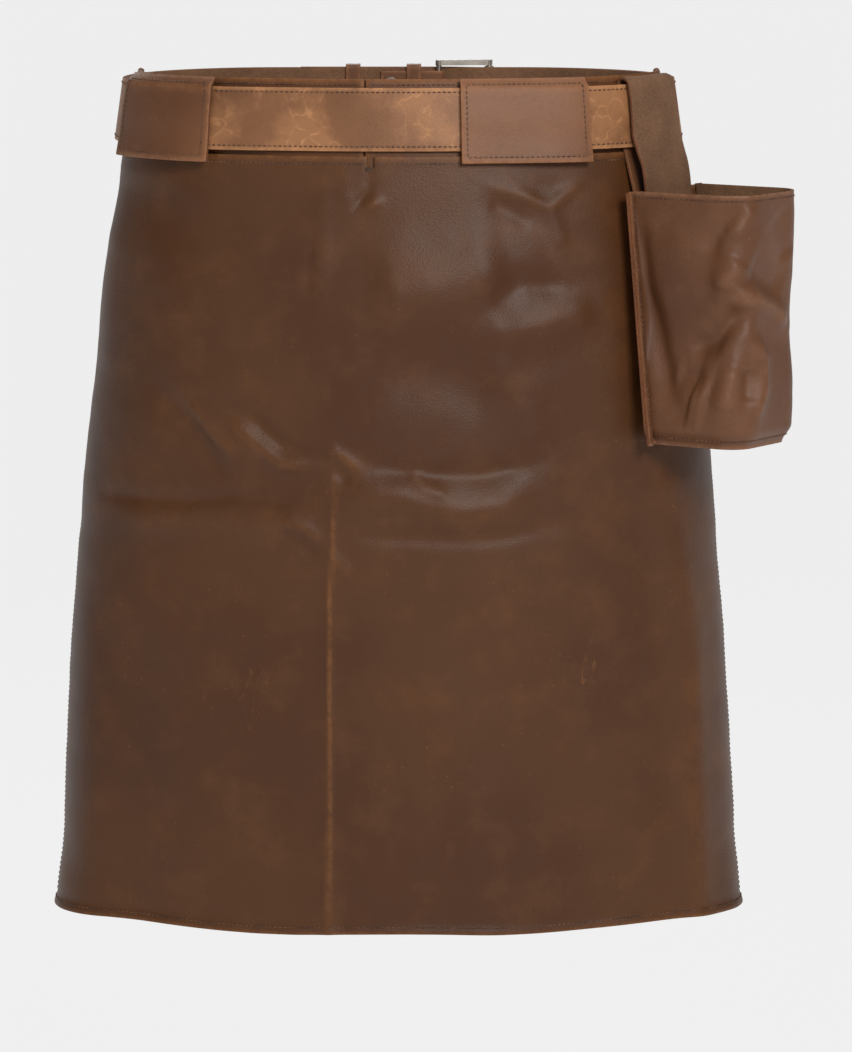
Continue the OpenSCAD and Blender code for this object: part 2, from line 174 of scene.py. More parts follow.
class Graph:
    """The node tree of one new material, with its Principled shader."""

    def __init__(self, name: str) -> None:
        """Make the material and clear its tree."""
        self.material = bpy.data.materials.new(name)
        self.material.use_nodes = True
        self.tree = self.material.node_tree
        self.tree.nodes.clear()
        self.shader = self.tree.nodes.new("ShaderNodeBsdfPrincipled")
        output = self.tree.nodes.new("ShaderNodeOutputMaterial")
        self.tree.links.new(self.shader.outputs[0], output.inputs[0])

    def feed(self, socket: bpy.types.NodeSocket, value: Any) -> None:
        """Link a value to a socket, or set it there when it is a constant."""
        if isinstance(value, Value):
            self.tree.links.new(value.socket, socket)
        else:
            socket.default_value = value

    def node(self, kind: str, settings: dict[str, Any], inputs: dict[Any, Any],
             output: Any = 0) -> Value:
        """Add a node.

        Args:
            kind: The node's type.
            settings: Its properties, set before its sockets.
            inputs: Values or links of its sockets, by name or number.
            output: The output to return.

        Returns:
            The chosen output.
        """
        made = self.tree.nodes.new(kind)
        for key, value in settings.items():
            setattr(made, key, value)
        for key, value in inputs.items():
            self.feed(made.inputs[key], value)
        return Value(self, made.outputs[output])

    def mix(self, share: Any, a: Any, b: Any) -> Value:
        """Mix two colours.

        Args:
            share: How much of b shows, 0 to 1.
            a, b: The colours.

        Returns:
            The mixed colour.
        """
        return self.node("ShaderNodeMix", {"data_type": "RGBA", "clamp_factor": True},
                         {0: share, 6: a, 7: b}, 2)

    def objects(self, stretch: Sequence[float] = (1, 1, 1)) -> Value:
        """Object coordinates, stretched.

        Args:
            stretch: The scale along each axis.

        Returns:
            The coordinates.
        """
        at = self.node("ShaderNodeTexCoord", {}, {}, "Object")
        return self.node("ShaderNodeMapping", {}, {"Vector": at, "Scale": tuple(stretch)})

    def noise(self, at: Value, scale: float, detail: float = 4, rough: float = 0.6,
              twist: float = 0) -> Value:
        """Add a Noise texture.

        Args:
            at: Its coordinates.
            scale, detail, rough, twist: Its scale, detail, roughness and distortion.

        Returns:
            The noise, about 0.5.
        """
        return self.node("ShaderNodeTexNoise", {}, {
            "Vector": at, "Scale": scale, "Detail": detail, "Roughness": rough,
            "Distortion": twist})

    def cells(self, at: Value, scale: float, feature: str = "F1") -> Value:
        """Add a Voronoi texture.

        Args:
            at: Its coordinates.
            scale: Its scale.
            feature: F1 or DISTANCE_TO_EDGE.

        Returns:
            The distance.
        """
        return self.node("ShaderNodeTexVoronoi", {"feature": feature},
                         {"Vector": at, "Scale": scale}, "Distance")

    def bump(self, height: Any, distance: float, strength: float) -> None:
        """Bump the surface by a height.

        Args:
            height: The height, 0 to 1.
            distance: How far a height of 1 stands out, in metres.
            strength: The bump's strength.
        """
        normal = self.node("ShaderNodeBump", {}, {
            "Height": height, "Distance": distance, "Strength": strength}, "Normal")
        self.feed(self.shader.inputs["Normal"], normal)

    def finish(self, **inputs: Any) -> Material:
        """Feed the shader's sockets and return the material.

        Args:
            inputs: Socket names with _ for a space, and their values.

        Returns:
            The finished material.
        """
        for key, value in inputs.items():
            self.feed(self.shader.inputs[key.replace("_", " ")], value)
        return self.material


# Finishes


class Wear(Enum):
    """How a leather's surface has worn."""

    CREASED = "creased"
    CRACKLED = "crackled"
    SCUFFED = "scuffed"


@dataclass(frozen=True)
class Leather:
    """Waxed pull-up leather, which pales where it is bent or scraped.

    Attributes:
        name: The material's name.
        dark, mid, pale: Its colours, pale where it is worn.
        wear: How it has worn.
        rough: Its roughness, about which worn and patchy places vary.
        mottle: How strongly paler patches show.
        grain: Height of its grain in metres.
    """

    name: str
    dark: Colour
    mid: Colour
    pale: Colour
    wear: Wear = Wear.CREASED
    rough: float = 0.46
    mottle: float = 0.1
    grain: float = 0.00036

    def make(self) -> Material:
        """Build the material.

        Returns:
            The material.
        """
        g = Graph(self.name)
        at = g.objects()
        broad = g.noise(at, 5, 3, 0.5)
        patch = g.noise(at, 30, 5, 0.6)
        fine = g.noise(at, 330, 4, 0.6)
        pores = g.cells(at, 900)
        worn = g.node("ShaderNodeAttribute", {"attribute_name": "worn"}, {}, "Fac")
        broken = g.noise(at, 150, 5, 0.7).band(0.36, 0.64)
        hair = g.noise(g.objects((1, 1, 0.45)), 46, 2, 0.5, 1.4).away(0.5)
        scratch = (1 - hair.band(0.0, 0.005)) * g.noise(at, 12, 2, 0.5).band(0.55, 0.7)
        speck = (1 - g.cells(at, 95).band(0.03, 0.12)) * g.noise(at, 9, 2, 0.5).band(0.48, 0.62)
        colour = g.mix(broad.band(0.34, 0.66), self.dark, self.mid)
        colour = g.mix(patch.band(0.45, 0.75) * self.mottle, colour, self.pale)
        colour = g.mix((1 - fine.band(0.28, 0.5)) * 0.25, colour, self.dark)
        marks = worn * (0.35 + broken * 0.65)
        height = fine * 0.55 + pores * 0.45
        if self.wear is Wear.CRACKLED:
            bent = g.node("ShaderNodeVectorMath", {"operation": "ADD"}, {
                0: at, 1: g.node("ShaderNodeVectorMath", {"operation": "SCALE"}, {
                    0: g.node("ShaderNodeTexNoise", {}, {"Vector": at, "Scale": 55}, "Color"),
                    "Scale": 0.022})})
            blotch = g.noise(at, 17, 4, 0.6).band(0.42, 0.6)
            crack = (1 - g.cells(bent, 62, "DISTANCE_TO_EDGE").band(0.0, 0.075)) * broken
            marks = marks + crack * blotch * 0.75
            colour = g.mix(blotch * 0.32, colour, self.pale)
        elif self.wear is Wear.SCUFFED:
            marks = marks + g.noise(g.objects((1, 1, 2.4)), 42, 5, 0.65).band(0.56, 0.74) * 0.16
        colour = g.mix(marks, colour, self.pale)
        colour = g.mix(scratch * 0.3 + speck * 0.22, colour, self.pale)
        g.bump(height, self.grain, 0.7)
        return g.finish(
            Base_Color=colour, Roughness=self.rough + 0.1 * patch + 0.16 * marks - 0.04,
            Specular_IOR_Level=0.28)


@dataclass(frozen=True)
class Suede:
    """Fibrous leather: the flesh side or a cut edge."""

    name: str
    dark: Colour
    pale: Colour
    fibre: float = 420

    def make(self) -> Material:
        """Build the material.

        Returns:
            The material.
        """
        g = Graph(self.name)
        nap = g.noise(g.objects((1, 1, 1.8)), self.fibre, 4, 0.7)
        cloud = g.noise(g.objects(), 26, 4, 0.6)
        colour = g.mix(nap.band(0.3, 0.7) * 0.6 + cloud.band(0.35, 0.7) * 0.4, self.dark, self.pale)
        g.bump(nap, 0.0004, 0.8)
        return g.finish(Base_Color=colour, Roughness=0.84 + nap * 0.1)


@dataclass(frozen=True)
class Thread:
    """Waxed sewing thread."""

    name: str
    dark: Colour
    pale: Colour

    def make(self) -> Material:
        """Build the material.

        Returns:
            The material.
        """
        g = Graph(self.name)
        twist = g.node("ShaderNodeTexWave", {"bands_direction": "DIAGONAL"}, {
            "Vector": g.objects(), "Scale": 520, "Distortion": 1.0})
        soil = g.noise(g.objects(), 60, 3, 0.6)
        g.bump(twist, 0.0001, 0.6)
        return g.finish(Base_Color=g.mix(soil.band(0.35, 0.65), self.dark, self.pale),
                        Roughness=0.55 + twist * 0.1)


@dataclass(frozen=True)
class Steel:
    """Plated steel with fine scratches."""

    name: str
    bright: Colour
    dull: Colour

    def make(self) -> Material:
        """Build the material.

        Returns:
            The material.
        """
        g = Graph(self.name)
        cloud = g.noise(g.objects(), 90, 4, 0.6)
        lines = g.noise(g.objects((1, 1, 0.08)), 900, 3, 0.6)
        g.bump(lines, 0.00006, 0.5)
        return g.finish(Base_Color=g.mix(cloud.band(0.3, 0.75), self.bright, self.dull),
                        Roughness=0.2 + cloud * 0.24 + lines * 0.06, Metallic=1.0)


@dataclass(frozen=True)
class Studio:
    """Plain matt surface of the floor, with a glow of its own."""

    name: str
    colour: Colour
    glow: float = 0.84

    def make(self) -> Material:
        """Build the material."""
        return Graph(self.name).finish(
            Base_Color=self.colour, Roughness=0.9, Specular_IOR_Level=0.1,
            Emission_Color=(1, 1, 1, 1), Emission_Strength=self.glow)


class Finishes:
    """Every finish, made once and handed out by name."""

    def __init__(self) -> None:
        """Make all the materials."""
        self.skirt = Leather("oiled_hide_skirt", tone(72, 40, 17), tone(82, 48, 21),
                             tone(146, 94, 50)).make()
        self.band = Leather("oiled_hide_band", tone(80, 46, 20), tone(98, 58, 28),
                             tone(150, 98, 56)).make()
        self.loop = Leather("oiled_hide_loop", tone(94, 58, 35), tone(120, 78, 50),
                            tone(158, 108, 72), Wear.SCUFFED).make()
        self.belt = Leather("belt_hide_face", tone(98, 61, 36), tone(132, 89, 58),
                            tone(184, 130, 86), Wear.CRACKLED).make()
        self.strap = Leather("pouch_hide_strap", tone(86, 54, 32), tone(106, 68, 44),
                             tone(152, 104, 68)).make()
        self.pouch = Leather("pouch_hide_body", tone(87, 53, 32), tone(103, 66, 43),
                             tone(162, 116, 84)).make()
        self.flesh = Suede("flesh_side", tone(92, 62, 40), tone(126, 90, 62)).make()
        self.edge = Suede("cut_edge", tone(78, 42, 20), tone(132, 78, 42), 700).make()
        self.thread = Thread("waxed_thread", tone(58, 34, 18), tone(104, 70, 46)).make()
        self.steel = Steel("buckle_steel", tone(196, 190, 180), tone(140, 134, 124)).make()
        self.backdrop = Studio("studio_white", tone(45, 45, 45)).make()


# Leather folds


FADE = 0.22  # Share of a fold's length over which it dies away at each end
FADED = 0.25  # Share of its height that is left at the very end
FALL = 1.6  # How steeply a fold falls away to its sides
WAVES = ((95, 1.0), (38, 0.35), (14, 0.12))  # Size and share of each slow wave in a hide


@dataclass(frozen=True)
class Fold:
    """A ridge or furrow in a hide.

    Attributes:
        path: Its middle line, as places on the sheet.
        rise: How far its middle stands out, less than 0 for a furrow.
        width: How wide it is.
        worn: How much the hide has paled along it.
    """

    path: tuple[tuple[float, float], ...]
    rise: float
    width: float
    worn: float = 0.0

    def near(self, x: Array, z: Array) -> Array:
        """Work out how strongly the fold shows.

        Args:
            x, z: Places on the sheet.

        Returns:
            1 on the middle line, falling to 0 away from it and towards its ends.
        """
        best, spot, total = np.full(np.shape(x), np.inf), np.zeros(np.shape(x)), 0.0
        for (x0, z0), (x1, z1) in zip(self.path, self.path[1:]):
            dx, dz = x1 - x0, z1 - z0
            t = np.clip(((x - x0) * dx + (z - z0) * dz) / (dx * dx + dz * dz), 0, 1)
            far = np.hypot(x - x0 - t * dx, z - z0 - t * dz)
            spot = np.where(far < best, total + t * math.hypot(dx, dz), spot)
            best, total = np.minimum(best, far), total + math.hypot(dx, dz)
        run = spot / total
        taper = 1.0
        for share in (run, 1 - run):
            taper = taper * (FADED + (1 - FADED) * ease(share, 0, FADE))
        return np.exp(-(best / self.width) ** 2 * FALL) * taper


@dataclass(frozen=True)
class Folds:
    """The folds of one hide, with its slow unevenness.

    Attributes:
        folds: The ridges and furrows.
        sway: Height of its slow waves.
        seed: Where the waves are read from, so that each hide has its own.
    """

    folds: tuple[Fold, ...]
    sway: float = 1.0
    seed: float = 0.0

    def rise(self, x: Array, z: Array) -> Array:
        """Height of the surface over the plain sheet, in millimetres.

        Args:
            x, z: Places on the sheet.

        Returns:
            The heights.
        """
        total = np.zeros(np.shape(x))
        for fold in self.folds:
            total += fold.rise * fold.near(x, z)
        for size, share in WAVES:
            slow = [noise.noise(Vector((a / size, self.seed + size, b / size)))
                    for a, b in zip(np.ravel(x), np.ravel(z))]
            total += self.sway * share * np.reshape(slow, np.shape(x))
        return total

    def worn(self, x: Array, z: Array) -> Array:
        """Share of paling at each place.

        Args:
            x, z: Places on the sheet.

        Returns:
            The shares, 0 to 1.
        """
        total = np.zeros(np.shape(x))
        for fold in self.folds:
            if fold.worn:
                total = np.maximum(total, fold.worn * fold.near(x, z) ** 2)
        return total


# Making pieces


def new_object(name: str, bm: bmesh.types.BMesh,
               materials: Sequence[Material]) -> bpy.types.Object:
    """Make a smooth object of a bmesh, and free the bmesh.

    Args:
        name: The piece's name.
        bm: Its mesh.
        materials: Its finishes, in slot order.

    Returns:
        The object, at the origin.
    """
    mesh = bpy.data.meshes.new(name)
    for face in bm.faces:
        face.smooth = True
    bm.to_mesh(mesh)
    bm.free()
    for material in materials:
        mesh.materials.append(material)
    piece = bpy.data.objects.new(name, mesh)
    bpy.context.scene.collection.objects.link(piece)
    return piece


def settle(piece: bpy.types.Object, body: str,
           replaced: Sequence[str] = ()) -> bpy.types.Object:
    """Give a piece its body and the solids that it stands for, and log it.

    Args:
        piece: The piece.
        body: The body it rides on, empty for a piece that is left on no body.
        replaced: The solids it replaces.

    Returns:
        The piece.
    """
    if body:
        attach(piece, body)
    if replaced:
        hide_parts(*replaced)
    LOG.info("%s on %s", piece.name, body or "two bodies")
    return piece


WORN_RIM = (0.3, 3.2)  # Distances from a cut edge where paling is full and where it ends
WELD = 0.00001  # Distance in metres at which the ends of a ring join
SHARP = math.radians(50)  # Least angle of an edge that gets rounded


@dataclass
class Panel:
    """A leather panel cut from a flat hide and laid on a surface.

    Attributes:
        name: The piece's name.
        size: Its width and height when flat.
        place: Maps places on it to points of its outer face.
        thick: The leather's thickness.
        step: The spacing of its mesh.
        worn: How far the hide has paled at a place; the edges pale as well.
        cut: Says which places are cut away.
        ring: Whether its two ends join.
        edge_wear: How strongly its edges have paled.
        soft_edge: How far its cut edges are rounded.
    """

    name: str
    size: tuple[float, float]
    place: Place
    thick: float
    step: float = 4.0
    worn: Optional[Callable[[Array, Array], Array]] = None
    cut: Optional[Callable[[Array, Array], Array]] = None
    ring: bool = False
    edge_wear: float = 0.55
    soft_edge: float = 0.45

    def build(self, materials: Sequence[Material]) -> bpy.types.Object:
        """Make the panel's object.

        Args:
            materials: Finishes of the grain side, the flesh side and the cut edge.

        Returns:
            The object.
        """
        width, height = self.size
        bm = bmesh.new()
        bmesh.ops.create_grid(bm, x_segments=max(2, round(width / self.step)),
                              y_segments=max(2, round(height / self.step)), size=0.5)
        flat = np.array([[(v.co.x + 0.5) * width, (v.co.y + 0.5) * height] for v in bm.verts])
        s, h = flat[:, 0], flat[:, 1]
        points = self.place(s, h) * MM
        side = np.minimum(h, height - h)
        if not self.ring:
            side = np.minimum(side, np.minimum(s, width - s))
        worn = self.edge_wear * (1 - ease(side, *WORN_RIM))
        if self.worn:
            worn = np.maximum(worn, self.worn(s, h))
        layer = bm.verts.layers.float.new("worn")
        sheet = bm.loops.layers.uv.new("UVMap")
        for face in bm.faces:
            for loop in face.loops:
                x, y = loop.vert.co.x + 0.5, loop.vert.co.y + 0.5
                loop[sheet].uv = (x * width * MM, y * height * MM)
        for vert, point, share in zip(bm.verts, points, worn):
            vert.co, vert[layer] = point, float(share)
        if self.cut is not None:
            gone = self.cut(s, h)
            bm.verts.ensure_lookup_table()
            away = [vert for vert, lost in zip(bm.verts, gone) if lost]
            bmesh.ops.delete(bm, geom=away, context="VERTS")
        if self.ring:
            bmesh.ops.remove_doubles(bm, verts=bm.verts, dist=WELD)
        piece = new_object(self.name, bm, materials)
        solid = piece.modifiers.new("leather", "SOLIDIFY")
        solid.thickness, solid.offset = self.thick * MM, -1
        solid.material_offset, solid.material_offset_rim = 1, 2
        round_edge = piece.modifiers.new("edge", "BEVEL")
        round_edge.width, round_edge.segments = self.soft_edge * MM, 2
        round_edge.limit_method, round_edge.angle_limit = "ANGLE", SHARP
        round_edge.material = -1
        return piece

    def lay(self, finishes: Finishes, grain: Material, body: str, slot: str, *replaced: str,
            under: Optional[Material] = None) -> bpy.types.Object:
        """Build the panel and settle it on its body.

        Args:
            finishes: The finishes.
            grain: The finish of its outer face.
            body: The body it rides on.
            slot: The record's material slot; not used.
            replaced: The solids it replaces.
            under: The finish of its inner face, when that is not the flesh side.

        Returns:
            The piece.
        """
        leather = [grain, under or finishes.flesh, finishes.edge]
        return settle(self.build(leather), body, replaced)

    def seam(self, *corners: tuple[float, float]) -> "Seam":
        """Lay a stitch row on the panel.

        Args:
            corners: The row's corners on the panel; less than 0 counts from the far side.

        Returns:
            The row.
        """
        width, height = self.size
        return Seam(self.place, tuple((s if s >= 0 else width + s, h if h >= 0 else height + h)
                                      for s, h in corners))


@dataclass
class Seam:
    """A row of stitches on a panel.

    Attributes:
        place: The panel's mapping.
        corners: The row's corners on the panel.
        pitch: Distance from stitch to stitch.
        length: Length of a stitch.
        girth: Width of a stitch.
        press: Height of a stitch as a share of its width.
        seat: How far its middle lies over the leather.
    """

    place: Place
    corners: tuple[tuple[float, float], ...]
    pitch: float = 3.6
    length: float = 2.9
    girth: float = 1.15
    press: float = 0.8
    seat: float = 0.16

    def sew(self, bm: bmesh.types.BMesh) -> None:
        """Add the row's stitches to a bmesh.

        Args:
            bm: The mesh that takes the stitches.
        """
        ball = bmesh.new()
        bmesh.ops.create_uvsphere(ball, u_segments=6, v_segments=4, radius=0.5)
        pattern = bpy.data.meshes.new("stitch")
        ball.to_mesh(pattern)
        ball.free()
        for (s0, h0), (s1, h1) in zip(self.corners, self.corners[1:]):
            run = math.hypot(s1 - s0, h1 - h0)
            count = max(1, round(run / self.pitch))
            t = (np.arange(count) + 0.5) / count
            ds, dh = (s1 - s0) / run, (h1 - h0) / run
            s, h = s0 + (s1 - s0) * t, h0 + (h1 - h0) * t
            middle = self.place(s, h)
            along = self.place(s + ds, h + dh) - middle
            across = self.place(s - dh, h + ds) - middle
            for point, x, y in zip(middle, along, across):
                x, y = Vector(x).normalized(), Vector(y)
                z = x.cross(y).normalized()
                turn = Matrix((x, z.cross(x), z)).transposed().to_4x4()
                high = self.girth * self.press
                size = Matrix.Diagonal((self.length * MM, self.girth * MM, high * MM, 1))
                seat = Matrix.Translation((Vector(point) + z * self.seat) * MM)
                stitch = pattern.copy()
                stitch.transform(seat @ turn @ size)
                bm.from_mesh(stitch)
                bpy.data.meshes.remove(stitch)
        bpy.data.meshes.remove(pattern)


def sew(name: str, seams: Sequence[Seam], body: str,
        thread: Material) -> bpy.types.Object:
    """Make one piece of several stitch rows.

    Args:
        name: The piece's name.
        seams: Its rows.
        body: The body it rides on.
        thread: Its finish.

    Returns:
        The piece.
    """
    bm = bmesh.new()
    for seam in seams:
        seam.sew(bm)
    return settle(new_object(name, bm, [thread]), body)


# The waist


@dataclass(frozen=True)
class WaistLine:
    """The waist opening: a front arc, an arc round each hip, and a straight back.

    Attributes:
        width: Its whole width.
        front: Distance of its front from the hips' centres.
        hip: Radius round each hip.
        cone: How far the hips slope outwards for each millimetre down.
        belt_lift: How far the belt stands off at the sides.
        lift_from, lift_full: Places along the waist where that begins and is full.
        levelling: Length over which the slope dies away before the back.
    """

    width: float = 388
    front: float = 125
    hip: float = 110
    cone: float = 0.14
    belt_lift: float = 5.1
    lift_from: float = 60
    lift_full: float = 140
    levelling: float = 34

    @property
    def hip_x(self) -> float:
        """Distance of each hip's centre from the middle."""
        return self.width / 2 - self.hip

    @property
    def front_r(self) -> float:
        """Radius of the front arc."""
        square = self.hip_x ** 2 + self.front ** 2 - self.hip ** 2
        return square / (2 * (self.front - self.hip))

    @property
    def turn(self) -> float:
        """Angle from the front at which the front arc meets a hip's."""
        return math.atan2(self.hip_x, self.front_r - self.front)

    @property
    def front_len(self) -> float:
        """Length from the front's middle to the hip's arc."""
        return self.front_r * self.turn

    @property
    def hip_end(self) -> float:
        """Length from the front's middle to the straight back."""
        return self.front_len + self.hip * (math.pi - self.turn)

    @property
    def half_round(self) -> float:
        """Length from the front's middle to the back's middle."""
        return self.hip_end + self.hip_x

    def facing(self, u: Array) -> Array:
        """Angle of the outward normal at places along the waist, in radians from the front."""
        a = np.abs(u)
        bent = np.minimum(math.pi, self.turn + (a - self.front_len) / self.hip)
        return np.sign(u) * np.where(a < self.front_len, a / self.front_r, bent)

    def level(self, u: Array) -> Array:
        """Share of the hips' slope that is left towards the back."""
        return 1 - ease(np.abs(u), self.hip_end - self.levelling, self.hip_end)

    def lift(self, u: Array) -> Array:
        """How far the belt stands off the waistband, to leave room for the hanger."""
        return self.belt_lift * ease(np.abs(u), self.lift_from, self.lift_full) * self.level(u)

    def point(self, u: Array, out: Any, z: Any) -> Array:
        """Points at a distance outwards and a height.

        Args:
            u: Places along the waist, from its front.
            out: Distances outwards at belt height.
            z: Heights.

        Returns:
            The points, one a row.
        """
        a, g, f = np.abs(u), np.where(u < 0, -1, 1), np.abs(self.facing(u))
        before, beside = a < self.front_len, a < self.hip_end
        x = np.where(beside, self.hip_x + self.hip * np.sin(f), self.hip_x - (a - self.hip_end))
        x = np.where(before, self.front_r * np.sin(f), x)
        y = np.where(beside, -self.hip * np.cos(f), self.hip)
        y = np.where(before, self.front_r - self.front - self.front_r * np.cos(f), y)
        o = out - z * self.cone * self.level(u)
        return np.stack([g * (x + o * np.sin(f)), y - o * np.cos(f), z + 0 * u], axis=-1)


WAIST = WaistLine()


def strip(u0: float, z0: float, out: Callable[[Array, Array], Array]) -> Place:
    """Make the mapping of a panel that lies round the waist.

    Args:
        u0, z0: The panel's first corner.
        out: Distance of its outer face from the waist, by place and height.

    Returns:
        The mapping.
    """
    def place(s: Array, h: Array) -> Array:
        """Points of places on the panel."""
        u, z = u0 + s, z0 + h
        return WAIST.point(u, out(u, z), z)
    return place


# Sub-assemblies


@dataclass
class Skirt:
    """The hide that hangs from the waistband, with its stitched edges, dart and bar tack.

    Attributes:
        top: How far its top edge lies under the belt's middle.
        length: Its length.
        hide: Its thickness.
        lap: Clear gap to the waistband it laps.
        band: Thickness of that waistband.
        hem_width, hem_depth, hem_corner: Width, depth and corner radius of the hem's section.
        wrap_top, wrap_hem: Degrees round each hip that it reaches, at its top and its hem.
        flare: How early it spreads below the waist.
        flat: Its size when flat.
        fold_drop: Heights on the fold list for each millimetre of skirt.
        held: Levels between which the waistband lets go of it.
        hem_flip, corner_flip: How far the hem and its two corners turn out.
        top_lip: How far its top edge turns out.
        dart_x: The dart's place across.
        slit_half, slit_depth: Half the width, and the depth, of the dart's slit.
        folds: Its folds, by place across and height.
    """

    top: float = 26
    length: float = 569
    hide: float = 2
    lap: float = 0.4
    band: float = 2.5
    hem_width: float = 504
    hem_depth: float = 130
    hem_corner: float = 78
    wrap_top: float = 97
    wrap_hem: float = 95
    flare: float = 1.6
    flat: tuple[float, float] = (620, 569)
    fold_drop: float = 0.98
    held: tuple[float, float] = (0.028, 0.06)
    hem_flip: float = 2.2
    corner_flip: float = 4.0
    top_lip: float = 0.42
    dart_x: float = -21.5
    slit_half: float = 1.7
    slit_depth: float = 6
    folds: Folds = Folds((
        Fold(((-61, -76), (-64, -107), (-65, -130)), -0.9, 3),
        Fold(((-52, -36), (-56, -140)), 1.1, 9),
        Fold(((-48, -215), (-45, -270), (-47, -307), (-49, -336), (-51, -640)), 1.1, 2.8, 0.5),
        Fold(((-58, -310), (-61, -640)), -0.7, 9),
        Fold(((-36, -330), (-38, -640)), -0.5, 9),
        Fold(((-214, -273), (-154, -272), (-119, -267), (-79, -270), (-46, -275)), -2.8, 6.5),
        Fold(((-214, -288), (-120, -286), (-50, -288)), 2.2, 13, 0.06),
        Fold(((-176, -192), (-145, -222), (-125, -259)), -3.2, 9),
        Fold(((-152, -200), (-128, -228), (-112, -240)), 3.2, 8, 0.1),
        Fold(((-124, -208), (-104, -228), (-84, -243), (-60, -244)), 3.4, 7, 0.15),
        Fold(((-134, -198), (-104, -212), (-84, -229), (-58, -236)), -3.0, 7),
        Fold(((-112, -252), (-70, -259), (-50, -262)), -3.2, 13),
        Fold(((-52, -231), (-40, -237), (-26, -247)), 2.6, 5, 0.2),
        Fold(((-46, -246), (-34, -254)), -2.4, 6),
        Fold(((-44, -277), (-22, -265), (0, -266), (23, -272), (46, -276), (75, -273),
              (104, -263)), 7.0, 18, 0.05),
        Fold(((-44, -292), (10, -294), (60, -295), (112, -289)), -2.4, 8),
        Fold(((-25, -243), (20, -249), (60, -250), (104, -242)), -3.2, 9),
        Fold(((9, -246), (18, -257), (36, -264)), 2.0, 5, 0.1),
        Fold(((-86, -283), (-66, -288), (-52, -300)), 2.4, 5.5, 0.15),
        Fold(((-92, -289), (-70, -300), (-56, -310)), -2.2, 6),
        Fold(((-50, -306), (-34, -322)), 1.4, 6, 0.12),
        Fold(((-24, -126), (30, -116), (84, -104)), 8.0, 38),
        Fold(((56, -152), (103, -146), (144, -133)), 4.2, 16, 0.04),
        Fold(((60, -130), (89, -115), (122, -117)), -3.6, 12),
        Fold(((56, -41), (109, -62), (137, -39)), 2.0, 5, 0.14),
        Fold(((72, -37), (100, -58)), 1.5, 4.5, 0.1),
        Fold(((109, -62), (119, -92)), 1.4, 7),
        Fold(((64, -57), (98, -74)), -2.0, 8),
        Fold(((98, -43), (118, -48)), -1.6, 6),
        Fold(((-10, -172), (75, -190)), -4.4, 30),
        Fold(((58, -160), (89, -193), (103, -240)), 3.0, 19),
        Fold(((-21, -24), (-20, -48), (-31, -62)), -2.8, 3.4),
        Fold(((-19, -55), (-15, -62)), 2.6, 7, 0.15),
        Fold(((-37, -30), (-39, -60)), 1.2, 8),
        Fold(((-190, -60), (-110, -100)), -2.0, 24),
        Fold(((196, -270), (214, -372), (224, -640)), 4.5, 15, 0.08),
        Fold(((172, -262), (190, -372), (198, -540)), -3.2, 18),
        Fold(((-206, -70), (-216, -200)), 1.6, 14),
        Fold(((-226, -330), (-232, -640)), 2.2, 18),
        Fold(((-186, -330), (-196, -640)), -2.2, 26),
        Fold(((20, -380), (60, -470), (70, -640)), 2.0, 30),
        Fold(((126, -340), (140, -640)), -2.0, 30),
    ), sway=1.9, seed=3.0)

    def spread(self, t: Array, a: float, b: float) -> Array:
        """Size of the skirt's section at a level.

        Args:
            t: Levels, 0 at the top and 1 at the hem.
            a, b: The size at the top and at the hem.

        Returns:
            The sizes.
        """
        # The section leads outwards at the top, so that it clears the sloping waistband.
        slope = 1.15 * WAIST.cone * self.length
        lead = max(0.0, (slope - self.flare * (b - a)) / 5)
        return a + (b - a) * (1 - (1 - t) ** self.flare) + lead * (1 - (1 - t) ** 6 - t)

    def plain(self, share: Array, t: Array, out: Any) -> Array:
        """Points of the skirt before it creases.

        Args:
            share: Places across, -1 to 1.
            t: Levels, 0 to 1.
            out: Distances outwards from the inner face.

        Returns:
            The points.
        """
        start = self.band + self.lap + WAIST.cone * self.top
        w = self.spread(t, WAIST.width / 2 + start, self.hem_width / 2 - self.hide)
        d = self.spread(t, WAIST.front + start, self.hem_depth - self.hide)
        r = self.spread(t, WAIST.hip + start, self.hem_corner - self.hide)
        x = w - r
        big = (x * x + d * d - r * r) / (2 * (d - r))
        turn = np.arctan2(x, big - d)
        wrap = np.radians(self.wrap_top * (1 - t) + self.wrap_hem * t)
        front = big * turn
        u = np.abs(share) * (front + r * (wrap - turn))
        f = np.where(u < front, u / big, turn + (u - front) / r)
        g = np.where(share < 0, -1, 1)
        px = np.where(u < front, (big + out) * np.sin(f), x + (r + out) * np.sin(f))
        py = np.where(u < front, big - d - (big + out) * np.cos(f), -(r + out) * np.cos(f))
        return np.stack([g * px, py, -self.top - t * self.length], axis=-1)

    def place(self, s: Array, h: Array) -> Array:
        """Points of the creased skirt's outer face.

        Args:
            s, h: Places across and up the flat hide.

        Returns:
            The points.
        """
        share, t = 2 * s / self.flat[0] - 1, 1 - h / self.flat[1]
        base = self.plain(share, t, self.hide)
        free = ease(t, *self.held)
        rise = self.folds.rise(base[..., 0], base[..., 2] * self.fold_drop) * (0.35 + 0.65 * free)
        rise = np.where(free < 1, np.maximum(rise, -0.2 - 3 * free), rise)
        corners = ease(np.abs(share), 0.72, 0.9) * ease(t, 0.9, 1.0)
        flip = self.hem_flip * ease(t, 0.985, 1.0) + self.corner_flip * corners
        lip = self.top_lip * (1 - ease(t, 0.0, 0.02))
        points = self.plain(share, t, self.hide + rise + flip + lip)
        points[..., 2] += ease(t, 0.93, 1.0) * np.cos(share * 9.0)
        return points

    def build(self, finishes: Finishes) -> None:
        """Make the hide, its stitch rows and its bar tack.

        Args:
            finishes: The finishes.
        """
        across, up = self.flat

